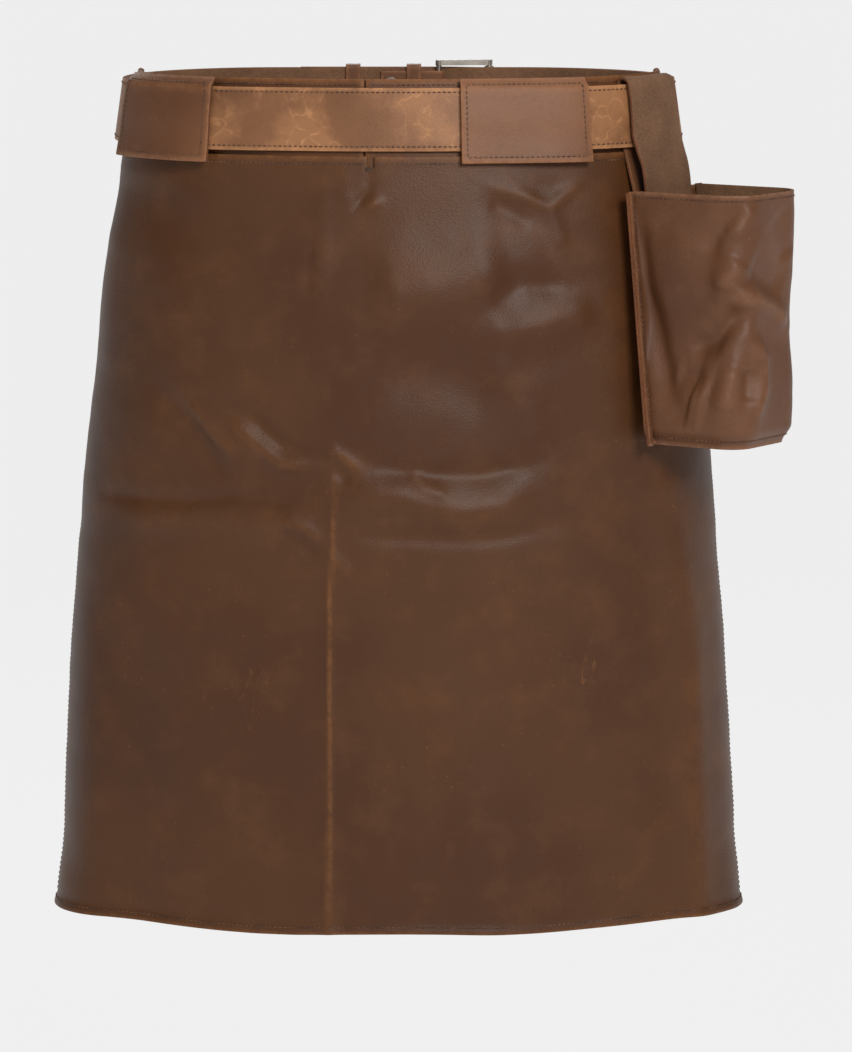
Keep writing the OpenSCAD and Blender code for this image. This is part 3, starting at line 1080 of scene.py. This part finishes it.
        def worn(s: Array, h: Array) -> Array:
            """Paling along the folds and the hem."""
            base = self.plain(2 * s / across - 1, 1 - h / up, 0)
            rim = 0.5 * (1 - ease(up - h, 0.5, 4.5))
            return np.maximum(self.folds.worn(base[..., 0], base[..., 2] * self.fold_drop), rim)

        def slit(s: Array, h: Array) -> Array:
            """The short slit of the dart in the top edge."""
            middle = across / 2 + self.dart_x * 1.005
            return (np.abs(s - middle) < self.slit_half) & (h > up - self.slit_depth)

        panel = Panel("skirt_hide", self.flat, self.place, self.hide, step=2.8, worn=worn,
                      cut=slit, edge_wear=0.4)
        hide = panel.lay(finishes, finishes.skirt, "apron", "oiled_hide", "skirt")
        dart = across / 2 + self.dart_x
        rows = [panel.seam(*row) for row in (
            ((5, -5.5), (dart - 6, -5.5)), ((dart + 6, -5.5), (-5, -5.5)), ((5, 5), (-5, 5)),
            ((6, 8), (6, -9)), ((-6, 8), (-6, -9)))]
        sew("skirt_stitches", rows, "apron", finishes.thread)
        levels = [up - 8.2 - 0.8 * k for k in range(4)]
        tack = [Seam(self.place, ((dart - 4, level), (dart + 4, level)), pitch=8, length=8,
                     girth=0.9) for level in levels]
        sew("dart_bar_tack", tack, "apron", finishes.thread)


@dataclass
class Waistband:
    """The two waistband halves, which meet at a notch, and the lining behind them."""

    half: float = 272
    top: float = 28.5
    drop: float = 42
    thick: float = 2.5
    lining: float = 1.6
    lining_gap: float = 0.02
    join: float = -23.6
    gap: float = 1.2

    def face(self, u: Array, z: Array) -> Array:
        """Distance of the halves' outer face, with a rolled top edge and a curl at the notch.

        Args:
            u, z: Places and heights.

        Returns:
            The distances.
        """
        roll = -0.8 * ease(z, self.top - 5, self.top)
        curl = 0.9 * ease(z, 8, self.top) * np.exp(-((u - self.join) / 9) ** 2)
        return self.thick + roll + curl + 0.15 * np.sin(u / 17) * ease(z, 12, 24)

    def build(self, finishes: Finishes) -> None:
        """Make the halves, the lining and the stitch row.

        Args:
            finishes: The finishes.
        """
        slit = self.gap / 2
        high = self.top + self.drop
        left = Panel("waistband_left_half", (self.half - self.join - slit, high),
                     strip(self.join + slit, -self.drop, self.face), self.thick)
        right = Panel("waistband_right_half", (self.half + self.join - slit, high),
                      strip(-self.half, -self.drop, self.face), self.thick)
        left.lay(finishes, finishes.band, "apron", "oiled_hide", "waistband_left")
        right.lay(finishes, finishes.band, "apron", "oiled_hide", "waistband_right")

        def back(u: Array, z: Array) -> Array:
            """Distance of the lining's outer face."""
            return -self.lining_gap + 0 * u
        lining = Panel("waistband_backing", (2 * self.half, high - 2),
                       strip(-self.half, 1 - self.drop, back), self.lining, step=5)
        lining.lay(finishes, finishes.flesh, "apron", "flesh_side", "waistband_lining",
                   under=finishes.band)
        rows = [left.seam((4, -4.2), (-4, -4.2), (-4, 4)),
                right.seam((-4, -4.2), (4, -4.2), (4, 4))]
        sew("waistband_stitches", rows, "apron", finishes.thread)


@dataclass
class Belt:
    """The two-ply belt, its chape, keepers and buckle.

    Attributes:
        width, ply, ply_gap: Its width, one ply's thickness and the hairline between the two.
        inner: Clear distance from the waist to the belt.
        hole, hole_pitch: Radius and spacing of the adjusting holes.
        heel_x, buckle, roller: The heel bar's place, the buckle's length, the roller's radius.
        chape_width, chape_ply, chape_leaf: Width, thickness and leaf length of the chape.
        keeper_width, keeper_ply, keeper_corner: Width, thickness and corner radius of a keeper.
        fixed_at, sliding_at: How far the two keepers stand from the heel bar.
        slot_start, slot_stop: Distances of the prong's slot from the heel bar and the roller.
        end_gap: How far the belt's first end stops short of the heel bar.
        tip_x: The place of the belt's tip.
    """

    width: float = 45
    ply: float = 2.2
    ply_gap: float = 0.02
    inner: float = 2.7
    hole: float = 2.5
    hole_pitch: float = 25
    heel_x: float = 30
    buckle: float = 38
    roller: float = 3.5
    chape_width: float = 40
    chape_ply: float = 1.8
    chape_leaf: float = 44
    keeper_width: float = 11
    keeper_ply: float = 1.8
    keeper_corner: float = 2.6
    fixed_at: float = 19
    sliding_at: float = 65
    slot_start: float = 5.5
    slot_stop: float = 12
    end_gap: float = 10
    tip_x: float = -75

    @property
    def back_y(self) -> float:
        """Middle plane of the belt at the back."""
        return WAIST.hip + self.inner + self.ply

    @property
    def tail_rise(self) -> float:
        """How far the tail rises to pass over the chape."""
        return 2 * self.ply + self.chape_ply + 0.3

    def ends(self) -> tuple[float, float]:
        """First and last place of the belt along the waist."""
        return (-(WAIST.half_round + self.heel_x - self.end_gap), WAIST.half_round - self.tip_x)

    def out(self, depth: float) -> Callable[[Array, Array], Array]:
        """Distance of a ply's outer face from the waist.

        Args:
            depth: The ply's outer face over the belt's inner face.

        Returns:
            The distance by place and height.
        """
        rise_from = WAIST.half_round - (self.heel_x + self.buckle - self.roller - 2.5)
        rise_to = WAIST.half_round - (self.heel_x + 7)

        def distance(u: Array, z: Array) -> Array:
            """Distance of the face at places and heights."""
            rise = self.tail_rise * ease(u, rise_from, rise_to)
            return self.inner + depth + WAIST.lift(u) + rise
        return distance

    def punched(self, piece: bpy.types.Object) -> None:
        """Punch the adjusting holes and the prong's slot through a ply.

        Args:
            piece: The ply.
        """
        slot_from = self.heel_x + self.slot_start
        slot_to = self.heel_x + self.buckle - self.slot_stop
        middle = (slot_from + slot_to) / 2
        bm = bmesh.new()
        lie = Matrix.Rotation(math.pi / 2, 4, "X")
        radius, through = self.hole * MM, 0.05
        for k in (-2, -1, 1, 2):
            at = ((middle - k * self.hole_pitch) * MM, self.back_y * MM, 0)
            bmesh.ops.create_cone(bm, cap_ends=True, segments=20, radius1=radius, radius2=radius,
                                  depth=through, matrix=Matrix.Translation(at) @ lie)
        size = Matrix.Diagonal(((slot_to - slot_from) * MM, through, 2 * self.hole * MM, 1))
        at = (middle * MM, self.back_y * MM, 0)
        bmesh.ops.create_cube(bm, size=1, matrix=Matrix.Translation(at) @ size)
        cutter = new_object("punch", bm, [])
        cut = piece.modifiers.new("punched", "BOOLEAN")
        cut.object, cut.solver = cutter, "EXACT"
        scene_now = bpy.context.evaluated_depsgraph_get()
        ready = bpy.data.meshes.new_from_object(piece.evaluated_get(scene_now))
        piece.modifiers.clear()
        piece.data = ready
        bpy.data.objects.remove(cutter)

    def chape(self, finishes: Finishes) -> None:
        """Make the chape, folded round the buckle's heel bar with a slot for the prong.

        Args:
            finishes: The finishes.
        """
        leaf = self.chape_leaf
        radius = self.ply + self.chape_ply
        bend = math.pi * radius
        run = 2 * leaf + bend

        def place(s: Array, h: Array) -> Array:
            """Points along the fold, from the inner leaf's end round the bar to the outer's."""
            turn = np.clip((s - leaf) / radius, 0, math.pi)
            x = np.where(s > leaf + bend, leaf + bend - s, radius * np.sin(turn))
            x = np.where(s < leaf, s - leaf, x)
            y = -radius * np.cos(turn)
            return np.stack([self.heel_x + x, self.back_y + y, h - self.chape_width / 2], axis=-1)

        def slot(s: Array, h: Array) -> Array:
            """The prong's slot."""
            return (np.abs(s - run / 2) < 6 + bend / 2) & (np.abs(h - self.chape_width / 2) < 3.2)
        Panel("chape_leather", (run, self.chape_width), place, self.chape_ply, step=1.25,
              cut=slot).lay(
            finishes, finishes.loop, "apron", "belt_hide", "buckle_chape")

    def keeper(self, name: str, node: str, body: str, x: float, below: float, above: float,
               finishes: Finishes) -> None:
        """Make a keeper, a closed band round the belt and its tail.

        Args:
            name: The piece's name.
            node: The solid it replaces.
            body: The body it rides on.
            x: Its middle.
            below, above: Its clear room under and over the belt's middle plane.
            finishes: The finishes.
        """
        corner = self.keeper_corner
        tall = self.width + 1 + 2 * self.keeper_ply
        deep = below + above + 2 * self.keeper_ply
        sides = [tall - 2 * corner, deep - 2 * corner] * 2
        quarter = corner * math.pi / 2
        ring = sum(sides) + 4 * quarter
        mid_y = self.back_y + (above - below) / 2
        starts = [(-(tall / 2 - corner), deep / 2), (tall / 2, deep / 2 - corner),
                  (tall / 2 - corner, -deep / 2), (-tall / 2, -(deep / 2 - corner))]
        heads = [(1, 0), (0, -1), (-1, 0), (0, 1)]

        def place(s: Array, h: Array) -> Array:
            """Points round the band."""
            z, y, start = np.zeros(np.shape(s)), np.zeros(np.shape(s)), 0.0
            s = np.mod(s, ring)
            for (z0, y0), (dz, dy), side in zip(starts, heads, sides):
                here = (s >= start) & (s <= start + side + quarter + 1e-6)
                run = np.minimum(s - start, side)
                bend = np.clip(s - start - side, 0, quarter) / corner
                on, aside = np.sin(bend), 1 - np.cos(bend)
                z = np.where(here, z0 + dz * run + corner * (on * dz + aside * dy), z)
                y = np.where(here, y0 + dy * run + corner * (on * dy + aside * -dz), y)
                start += side + quarter
            return np.stack([x - self.keeper_width / 2 + h, mid_y + y, z], axis=-1)
        Panel(name, (ring, self.keeper_width), place, self.keeper_ply, step=1.1, ring=True).lay(
            finishes, finishes.loop, body, "belt_hide", node)

    def build(self, finishes: Finishes) -> None:
        """Make the plies, their stitch rows, the chape and the keepers, and plate the buckle.

        Args:
            finishes: The finishes.
        """
        first, last = self.ends()
        size = (last - first, self.width)
        low, back_ply = -self.width / 2, self.ply - self.ply_gap
        face = Panel("belt_face", size, strip(first, low, self.out(2 * self.ply)), self.ply,
                     step=3.75, edge_wear=0.7)
        back = Panel("belt_back", size, strip(first, low, self.out(back_ply)), back_ply,
                     step=3.75, edge_wear=0.3)
        for panel, grain, node, slot in (
                (face, finishes.belt, "belt_outer", "belt_hide"),
                (back, finishes.flesh, "belt_lining", "flesh_side")):
            piece = panel.build([grain, finishes.flesh, finishes.edge])
            self.punched(piece)
            settle(piece, "apron", [node])
        sew("belt_stitches", [face.seam((4, 3.2), (-4, 3.2)), face.seam((4, -3.2), (-4, -3.2))],
            "apron", finishes.thread)
        self.chape(finishes)
        top = self.ply + self.tail_rise
        self.keeper("keeper_fixed_band", "keeper_fixed", "apron", self.heel_x - self.fixed_at,
                    self.ply + self.chape_ply, top + 0.3, finishes)
        self.keeper("keeper_sliding_band", "keeper_sliding", "keeper",
                    self.heel_x - self.sliding_at, self.ply + 0.35, top + 0.35, finishes)
        for node in ("buckle_frame", "buckle_roller", "buckle_prong", "chape_rivets"):
            for slot in frame["nodes"][node].material_slots:
                slot.material = finishes.steel


@dataclass
class BeltLoop:
    """A wide belt loop: a stitched face and its lining."""

    name: str
    node: str
    start: float
    end: float
    tilt: float = 0
    low: float = -31
    high: float = 29
    face_ply: float = 2.2
    lining_ply: float = 1.6
    inner: float = 7.4
    belt_half: float = 22.5

    def section(self, u: Array, z: Array, depth: float, proud: float) -> Array:
        """Distance of a ply's outer face, drawn in over the top land and standing proud below.

        Args:
            u, z: Places and heights.
            depth: The ply's outer face over the loop's clear room.
            proud: How far its lower edge stands out.

        Returns:
            The distances.
        """
        over = ease(z, self.belt_half - 1.5, self.high + 0.5)
        flat = self.inner + WAIST.lift(u) + depth
        lean = np.maximum(0, flat - 5.4) * 0.55 * over ** 1.3
        wave = proud * ease(-z, 8, -self.low) * (0.8 + 0.2 * np.sin(u / 13))
        press = 0.7 * np.exp(-(z / 15) ** 2)
        return flat - lean + wave + press

    def build(self, finishes: Finishes) -> None:
        """Make the face, the lining and the stitch row round the face.

        Args:
            finishes: The finishes.
        """
        size = (self.end - self.start, self.high - self.low)
        whole = self.lining_ply + self.face_ply

        def mark(s: Array, h: Array) -> Array:
            """Paling over the belt's edges and along the lower edge."""
            ridge = 0.35 * np.exp(-((h - (self.belt_half - self.low - 1)) / 3) ** 2)
            foot = 0.6 * (1 - ease(h, 0.5, 5))
            return np.maximum(ridge, foot)

        def outer(u: Array, z: Array) -> Array:
            """Distance of the face."""
            return self.section(u, z, whole, 1.3)

        def under(u: Array, z: Array) -> Array:
            """Distance of the lining."""
            return self.section(u, z, self.lining_ply - 0.05, 0.6)
        face = Panel(self.name + "_face_leather", size, strip(self.start, self.low, outer),
                     self.face_ply, step=2.5, worn=mark, edge_wear=0.65)
        margin = 0.4
        back = Panel(self.name + "_backing", (size[0] - 2 * margin, size[1] - 2 * margin),
                     strip(self.start + margin, self.low + margin, under),
                     self.lining_ply - 0.1, step=3)
        face.lay(finishes, finishes.loop, "apron", "oiled_hide", self.node + "_face")
        back.lay(finishes, finishes.flesh, "apron", "flesh_side", self.node + "_lining")
        inset = 4.2
        sew(self.name + "_stitches", [face.seam((inset, inset), (inset, -inset), (-inset, -inset),
                                                (-inset, inset), (inset, inset))],
            "apron", finishes.thread)


@dataclass
class Hanger:
    """The strap that folds over the belt and carries the pouch."""

    width: float = 62
    ply: float = 2.2
    inner_r: float = 115.15
    outer_r: float = 122.65
    fold_at: float = 27
    top: float = 22.95
    facing: float = math.radians(56.15)
    turn: float = math.radians(28.96)
    lean: float = math.radians(5.5)
    tail: float = 46
    front_end: float = 44
    seam_in: float = 4.0

    @property
    def outward(self) -> tuple[float, float]:
        """Direction that the pouch faces."""
        return math.sin(self.facing), -math.cos(self.facing)

    def stand(self, across: Array, out: Array, z: Array) -> Array:
        """Points in the object's axes.

        Args:
            across: Places across the strap.
            out: Distances outwards from the hip's axis.
            z: Heights.

        Returns:
            The points.
        """
        nx, ny = self.outward
        return np.stack([WAIST.hip_x + nx * out - ny * across, ny * out + nx * across, z], axis=-1)

    @property
    def fold_r(self) -> float:
        """Distance of the fold line from the hip's axis."""
        return self.outer_r + self.ply + self.fold_at * WAIST.cone

    def line(self) -> tuple[Array, Array]:
        """Draw the strap's outer line from its rear end, over the belt, to its front end.

        Returns:
            The line's points, as distances outwards and heights, and how far along it each lies.
        """
        half = (self.outer_r - self.inner_r - self.ply) / 2
        mid = self.inner_r + self.ply + half
        rear = self.inner_r + self.fold_at * WAIST.cone
        stack = self.fold_r - 2 - self.ply

        def low(r: float, z: float) -> tuple[float, float]:
            """A point under the fold line, leaning with the back panel."""
            return (r + math.tan(self.lean) * z, -self.fold_at - z)
        line = [low(stack, self.tail), low(stack, self.tail - 12), low(stack - 1.5, self.tail - 20)]
        line += [low(rear + 0.5, 8), low(rear, 1)]
        line += [(self.inner_r - z * WAIST.cone, z) for z in (-18, -9, 0, 9, 17)]
        line += [(mid + (half + self.ply) * math.cos(a) - self.top * WAIST.cone,
                  self.top + (half + self.ply) * math.sin(a) * 0.6)
                 for a in (math.pi - k * math.pi / 10 for k in range(11))]
        line += [(self.outer_r + self.ply - z * WAIST.cone, z) for z in (16, 8, 0, -9, -18, -25)]
        line += [low(self.fold_r + bulge, z)
                 for z, bulge in ((0, 0), (5, 0.4), (12, 1.6), (20, 2.2))]
        drawn = np.array(line + [low(self.fold_r + self.ply, self.front_end)])
        return drawn, np.concatenate([[0], np.cumsum(np.hypot(*np.diff(drawn, axis=0).T))])

    def place(self, s: Array, h: Array) -> Array:
        """Points of the strap's outer face.

        Args:
            s: Places across it.
            h: Places along it, from the rear end.

        Returns:
            The points.
        """
        line, reach = self.line()
        shifts = (0.0, -2.0, 2.0)
        r, z = (sum(np.interp(h + shift, reach, line[:, k]) for shift in shifts) / len(shifts)
                for k in (0, 1))
        front = ease(h, reach[-1] * 0.5, reach[-1] * 0.62)
        across = (s / self.width - 0.5) * self.turn
        flat = np.clip((-z - 14) / 20, 0, 1)
        curl = 1.2 * front * (np.abs(s / self.width - 0.5) * 2) ** 4 * ease(z, -20, 10)
        x0, y0 = (r + curl) * np.sin(across), (r + curl) * np.cos(across)
        x1, y1 = s - self.width / 2, r + 0 * s
        return self.stand(x0 * (1 - flat) + x1 * flat, y0 * (1 - flat) + y1 * flat, z)

    def build(self, finishes: Finishes) -> None:
        """Make the strap and its stitch rows.

        Args:
            finishes: The finishes.
        """
        length = float(self.line()[1][-1])
        over = length / 2

        def mark(s: Array, h: Array) -> Array:
            """Paling where the strap bends over the belt."""
            return 0.55 * np.exp(-((h - over) / 9) ** 2) * (0.6 + 0.4 * np.cos(s / 6))
        panel = Panel("hanger_strap", (self.width, length), self.place, self.ply, step=2.5,
                      worn=mark, edge_wear=0.65)
        strap = panel.lay(finishes, finishes.strap, "", "pouch_hide", "hanger_loop", "hanger_tail")
        rows = [panel.seam((inset, over - 4), (inset, -self.seam_in))
                for inset in (self.seam_in, -self.seam_in)]
        stitches = sew("hanger_stitches", rows, "", finishes.thread)
        above, below = (tuple(self.stand(0, self.fold_r, z - self.fold_at) * MM) for z in (3, -6))
        for part in (strap, stitches):
            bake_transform(part)


@dataclass
class Pouch:
    """The pouch: a back panel, a wrapped front that crumples, and a base.

    Attributes:
        hanger: The strap that carries it.
        width, depth, height: Its size over its seams.
        rim_drop: How far its rim lies under the fold line.
        ply: Its leather's thickness.
        seam: Width of each side seam's flange.
        corner: Radius of its front corners.
        back_corner: Radius of the back panel's lower corners.
        tuck: How far the wrap draws in at the bottom.
        slim: How far the wrap draws in at its middle.
        folds: Its folds, by place round the wrap and depth under the rim.
    """

    hanger: Hanger
    width: float = 100
    depth: float = 96
    height: float = 184
    rim_drop: float = 25
    ply: float = 2
    seam: float = 6
    corner: float = 24
    back_corner: float = 12
    tuck: float = 7.0
    slim: float = 3.0
    folds: Folds = Folds((
        Fold(((94, -4), (86, -14), (70, -32), (66, -48)), -5.2, 11.7, 0.05),
        Fold(((100, -8), (92, -18), (82, -30)), 3.1, 9.1, 0.12),
        Fold(((79, -70), (82, -60), (92, -46)), 5.2, 11.7, 0.12),
        Fold(((79, -70), (104, -76), (128, -84), (152, -98)), 6.4, 10.4, 0.20),
        Fold(((96, -50), (124, -62), (146, -72)), -4.8, 15.6),
        Fold(((99, -82), (83, -93), (68, -107), (47, -114)), -7.5, 11.1),
        Fold(((40, -129), (66, -134)), -3.8, 11.7),
        Fold(((89, -122), (86, -130), (79, -158)), 4.9, 10.4, 0.14),
        Fold(((102, -102), (114, -119), (114, -138), (102, -164)), 5.1, 10.4, 0.12),
        Fold(((101, -124), (97, -150)), -4.5, 10.4),
        Fold(((54, -144), (68, -148)), 5.5, 23.4, 0.06),
        Fold(((4, -12), (14, -74), (30, -134), (42, -158)), -5.9, 10.4),
        Fold(((40, -30), (44, -80)), 2.5, 28.6),
        Fold(((179, -4), (175, -50), (181, -120)), 2.4, 7.8, 0.20),
        Fold(((132, -14), (150, -52)), -3.1, 16.9),
        Fold(((200, -60), (218, -96), (210, -140)), 4.2, 14.3, 0.10),
        Fold(((228, -30), (206, -84)), -3.8, 15.6),
        Fold(((236, -110), (246, -150)), 3.1, 15.6, 0.07),
    ), sway=2.0, seed=11.0)

    def hang(self, x: Array, out: Array, z: Array, lean: float = 0) -> Array:
        """Turn the pouch's own axes, from the fold line, to the object's.

        Args:
            x: Places across.
            out: Distances outwards.
            z: Heights.
            lean: The tilt outwards of the pouch's own axes, in radians.

        Returns:
            The points.
        """
        reach = self.hanger.fold_r + out * math.cos(lean) - z * math.sin(lean)
        up = out * math.sin(lean) + z * math.cos(lean)
        return self.hanger.stand(x, reach, up - self.hanger.fold_at)

    def build(self, finishes: Finishes) -> None:
        """Make the back panel, the wrapped front, the base and the stitch rows.

        Args:
            finishes: The finishes.
        """
        bottom = -self.rim_drop - self.height
        body_w = self.width - 2 * self.seam
        r, side = self.corner, self.depth - self.corner
        bend, front = r * math.pi / 2, body_w - 2 * r
        run = 2 * (side + bend) + front

        def back_place(s: Array, h: Array) -> Array:
            """Points of the back panel's outer face, rounded at its lower corners."""
            low = np.clip(self.back_corner - h, 0, self.back_corner)
            inward = self.back_corner - np.sqrt(np.maximum(0, self.back_corner ** 2 - low ** 2))
            x = (s - self.width / 2) * (1 - inward / (self.width / 2))
            return self.hang(x, 0 * s, bottom + h, self.hanger.lean)
        back = Panel("pouch_back_panel", (self.width, self.height - 2), back_place, self.ply,
                     step=3.2)
        back.lay(finishes, finishes.pouch, "pouch", "pouch_hide", "pouch_back")

        def wrap_place(s: Array, h: Array) -> Array:
            """Points of the crumpled wrap's outer face, with a flange along each end."""
            q = s - self.seam
            q0 = np.clip(q, 0, run)
            turn1 = np.clip((q0 - side) / r, 0, math.pi / 2)
            turn2 = np.clip((q0 - side - bend - front) / r, 0, math.pi / 2)
            along = np.clip(q0 - side - bend, 0, front)
            returned = np.clip(q0 - side - 2 * bend - front, 0, side)
            x = -body_w / 2 + r * (1 - np.cos(turn1)) + along + r * np.sin(turn2)
            out = np.clip(q0, 0, side) + r * np.sin(turn1) - r * (1 - np.cos(turn2)) - returned
            z, drop = bottom + h, h - self.height
            free = ease(q0, 2, 16) * ease(run - q0, 2, 16)
            ends = ease(h, 0, 14) * (0.25 + 0.75 * ease(-drop, 2, 16))
            rise = np.clip(self.folds.rise(q0, drop) * ends, -9, 6) * free
            tuck = self.tuck * (1 - ease(h, 0, 13)) * free
            slim = self.slim * np.exp(-((drop + 95) / 30) ** 2) * free
            swell = rise - tuck - slim
            x = x - np.cos(turn1 + turn2) * swell + np.minimum(q, 0) + np.maximum(q - run, 0)
            out = out + np.sin(turn1 + turn2) * swell
            back_face = -z * math.tan(self.hanger.lean)
            near = 1 - np.clip(out / 26, 0, 1)
            joined = back_face * near + out * (1 - near) + self.ply * near
            flange = (q < 0) | (q > run)
            return self.hang(x, np.where(flange, back_face + self.ply, np.maximum(out, joined)), z)

        def wrap_worn(s: Array, h: Array) -> Array:
            """Paling along the ridges, the rim and the base."""
            rim = 0.5 * (1 - ease(self.height - h, 0.5, 5))
            return np.maximum(self.folds.worn(s - self.seam, h - self.height), rim)
        wrap = Panel("pouch_front_wrap", (run + 2 * self.seam, self.height - 1), wrap_place,
                     self.ply, step=1.9, worn=wrap_worn, edge_wear=0.5)
        wrap.lay(finishes, finishes.pouch, "pouch", "pouch_hide", "pouch_wrap")
        grid = 60

        def base_place(s: Array, h: Array) -> Array:
            """Points of the base, a rounded plate drawn from a square grid."""
            x, out = (s / grid - 0.5) * 2, h / grid
            nose = np.clip((out - 0.72) / 0.28, 0, 1)
            wide = (body_w / 2 - 6) * np.sqrt(np.maximum(0.0, 1 - nose ** 2 * 0.6))
            crown = 3.0 * np.cos(x * 1.5) * np.sin(out * 3.1)
            return self.hang(x * wide, self.ply + 20 + out * (self.depth - 29),
                             bottom + 4.5 - crown)
        base = Panel("pouch_base", (grid, grid), base_place, self.ply, step=2.5)
        base.lay(finishes, finishes.pouch, "pouch", "pouch_hide", "pouch_bottom")
        rows = [wrap.seam(*row) for row in (
            ((3, -4), (-3, -4)), ((3, 14), (3, -8)), ((-3, 14), (-3, -8)), ((14, 6), (-14, 6)))]
        sew("pouch_stitches", rows, "pouch", finishes.thread)


# Studio


@dataclass
class Room:
    """The pale floor, the lights and the camera, in metres.

    Attributes:
        floor: The floor's height.
        eye, pitch, lens: The camera's place, its dip and its focal length in millimetres.
        sky: Strength of the light from all round.
        wall: Brightness of the backdrop that the camera sees.
    """

    floor: float = -1.03
    eye: tuple[float, float, float] = (0.0202, -4.13, 0.28)
    pitch: float = math.radians(8.156)
    lens: float = 191.6
    sky: float = 0.2
    wall: float = 0.86

    def build(self, finishes: Finishes) -> None:
        """Make the floor.

        Args:
            finishes: The finishes.
        """
        bm = bmesh.new()
        bmesh.ops.create_grid(bm, x_segments=8, y_segments=8, size=40,
                              matrix=Matrix.Translation((0, 0, self.floor)))
        new_object("studio_floor", bm, [finishes.backdrop])

    def light(self) -> None:
        """Add the soft lights and the sky."""
        for name, place, aim, size, power in (
                ("key", (1.1, -3.0, 1.3), (0.02, 0, -0.12), 1.0, 78),
                ("left", (-2.4, -3.0, 1.0), (0, 0, -0.3), 1.8, 10),
                ("rear", (-0.8, 3.2, 1.2), (0, 0, -0.25), 2.0, 34),
                ("top", (0.1, 0.1, 2.4), (0, 0, 0), 1.8, 24)):
            data = bpy.data.lights.new(name, "AREA")
            data.energy, data.size, data.shape = power, size, "SQUARE"
            lamp = bpy.data.objects.new(name, data)
            lamp.location = place
            beam = Vector(aim) - Vector(place)
            lamp.rotation_euler = beam.to_track_quat("-Z", "Y").to_euler()
            bpy.context.scene.collection.objects.link(lamp)
        bpy.context.scene.view_settings.view_transform = "Standard"
        world = bpy.data.worlds.new("sky")
        bpy.context.scene.world = world
        world.use_nodes = True
        tree = world.node_tree
        sky, seen = tree.nodes["Background"], tree.nodes.new("ShaderNodeBackground")
        for background, strength in ((sky, self.sky), (seen, self.wall)):
            background.inputs[0].default_value = (1, 1, 1, 1)
            background.inputs[1].default_value = strength
        mix, path = tree.nodes.new("ShaderNodeMixShader"), tree.nodes.new("ShaderNodeLightPath")
        tree.links.new(path.outputs["Is Camera Ray"], mix.inputs[0])
        tree.links.new(sky.outputs[0], mix.inputs[1])
        tree.links.new(seen.outputs[0], mix.inputs[2])
        tree.links.new(mix.outputs[0], tree.nodes["World Output"].inputs[0])

    def camera(self) -> None:
        """Place the camera."""
        data = bpy.data.cameras.new("camera")
        data.lens, data.sensor_width, data.clip_end = self.lens, 36, 60
        camera = bpy.data.objects.new("camera", data)
        camera.location = self.eye
        camera.rotation_euler = (math.pi / 2 - self.pitch, 0, 0)
        bpy.context.scene.collection.objects.link(camera)
        bpy.context.scene.camera = camera


def main() -> None:
    """Build the sub-assemblies in order."""
    logging.basicConfig(level=logging.INFO, format="%(name)s: %(message)s")
    finishes = Finishes()
    room = Room()
    room.camera()
    room.light()
    room.build(finishes)
    hanger = Hanger()
    for part in (Waistband(), Skirt(), Belt(), BeltLoop("left_loop", "loop_left", 44, 134.77),
                 BeltLoop("right_loop", "loop_right", -216, -132), hanger, Pouch(hanger)):
        part.build(finishes)
        LOG.info("%s built", type(part).__name__)


if __name__ == "__main__":
    main()
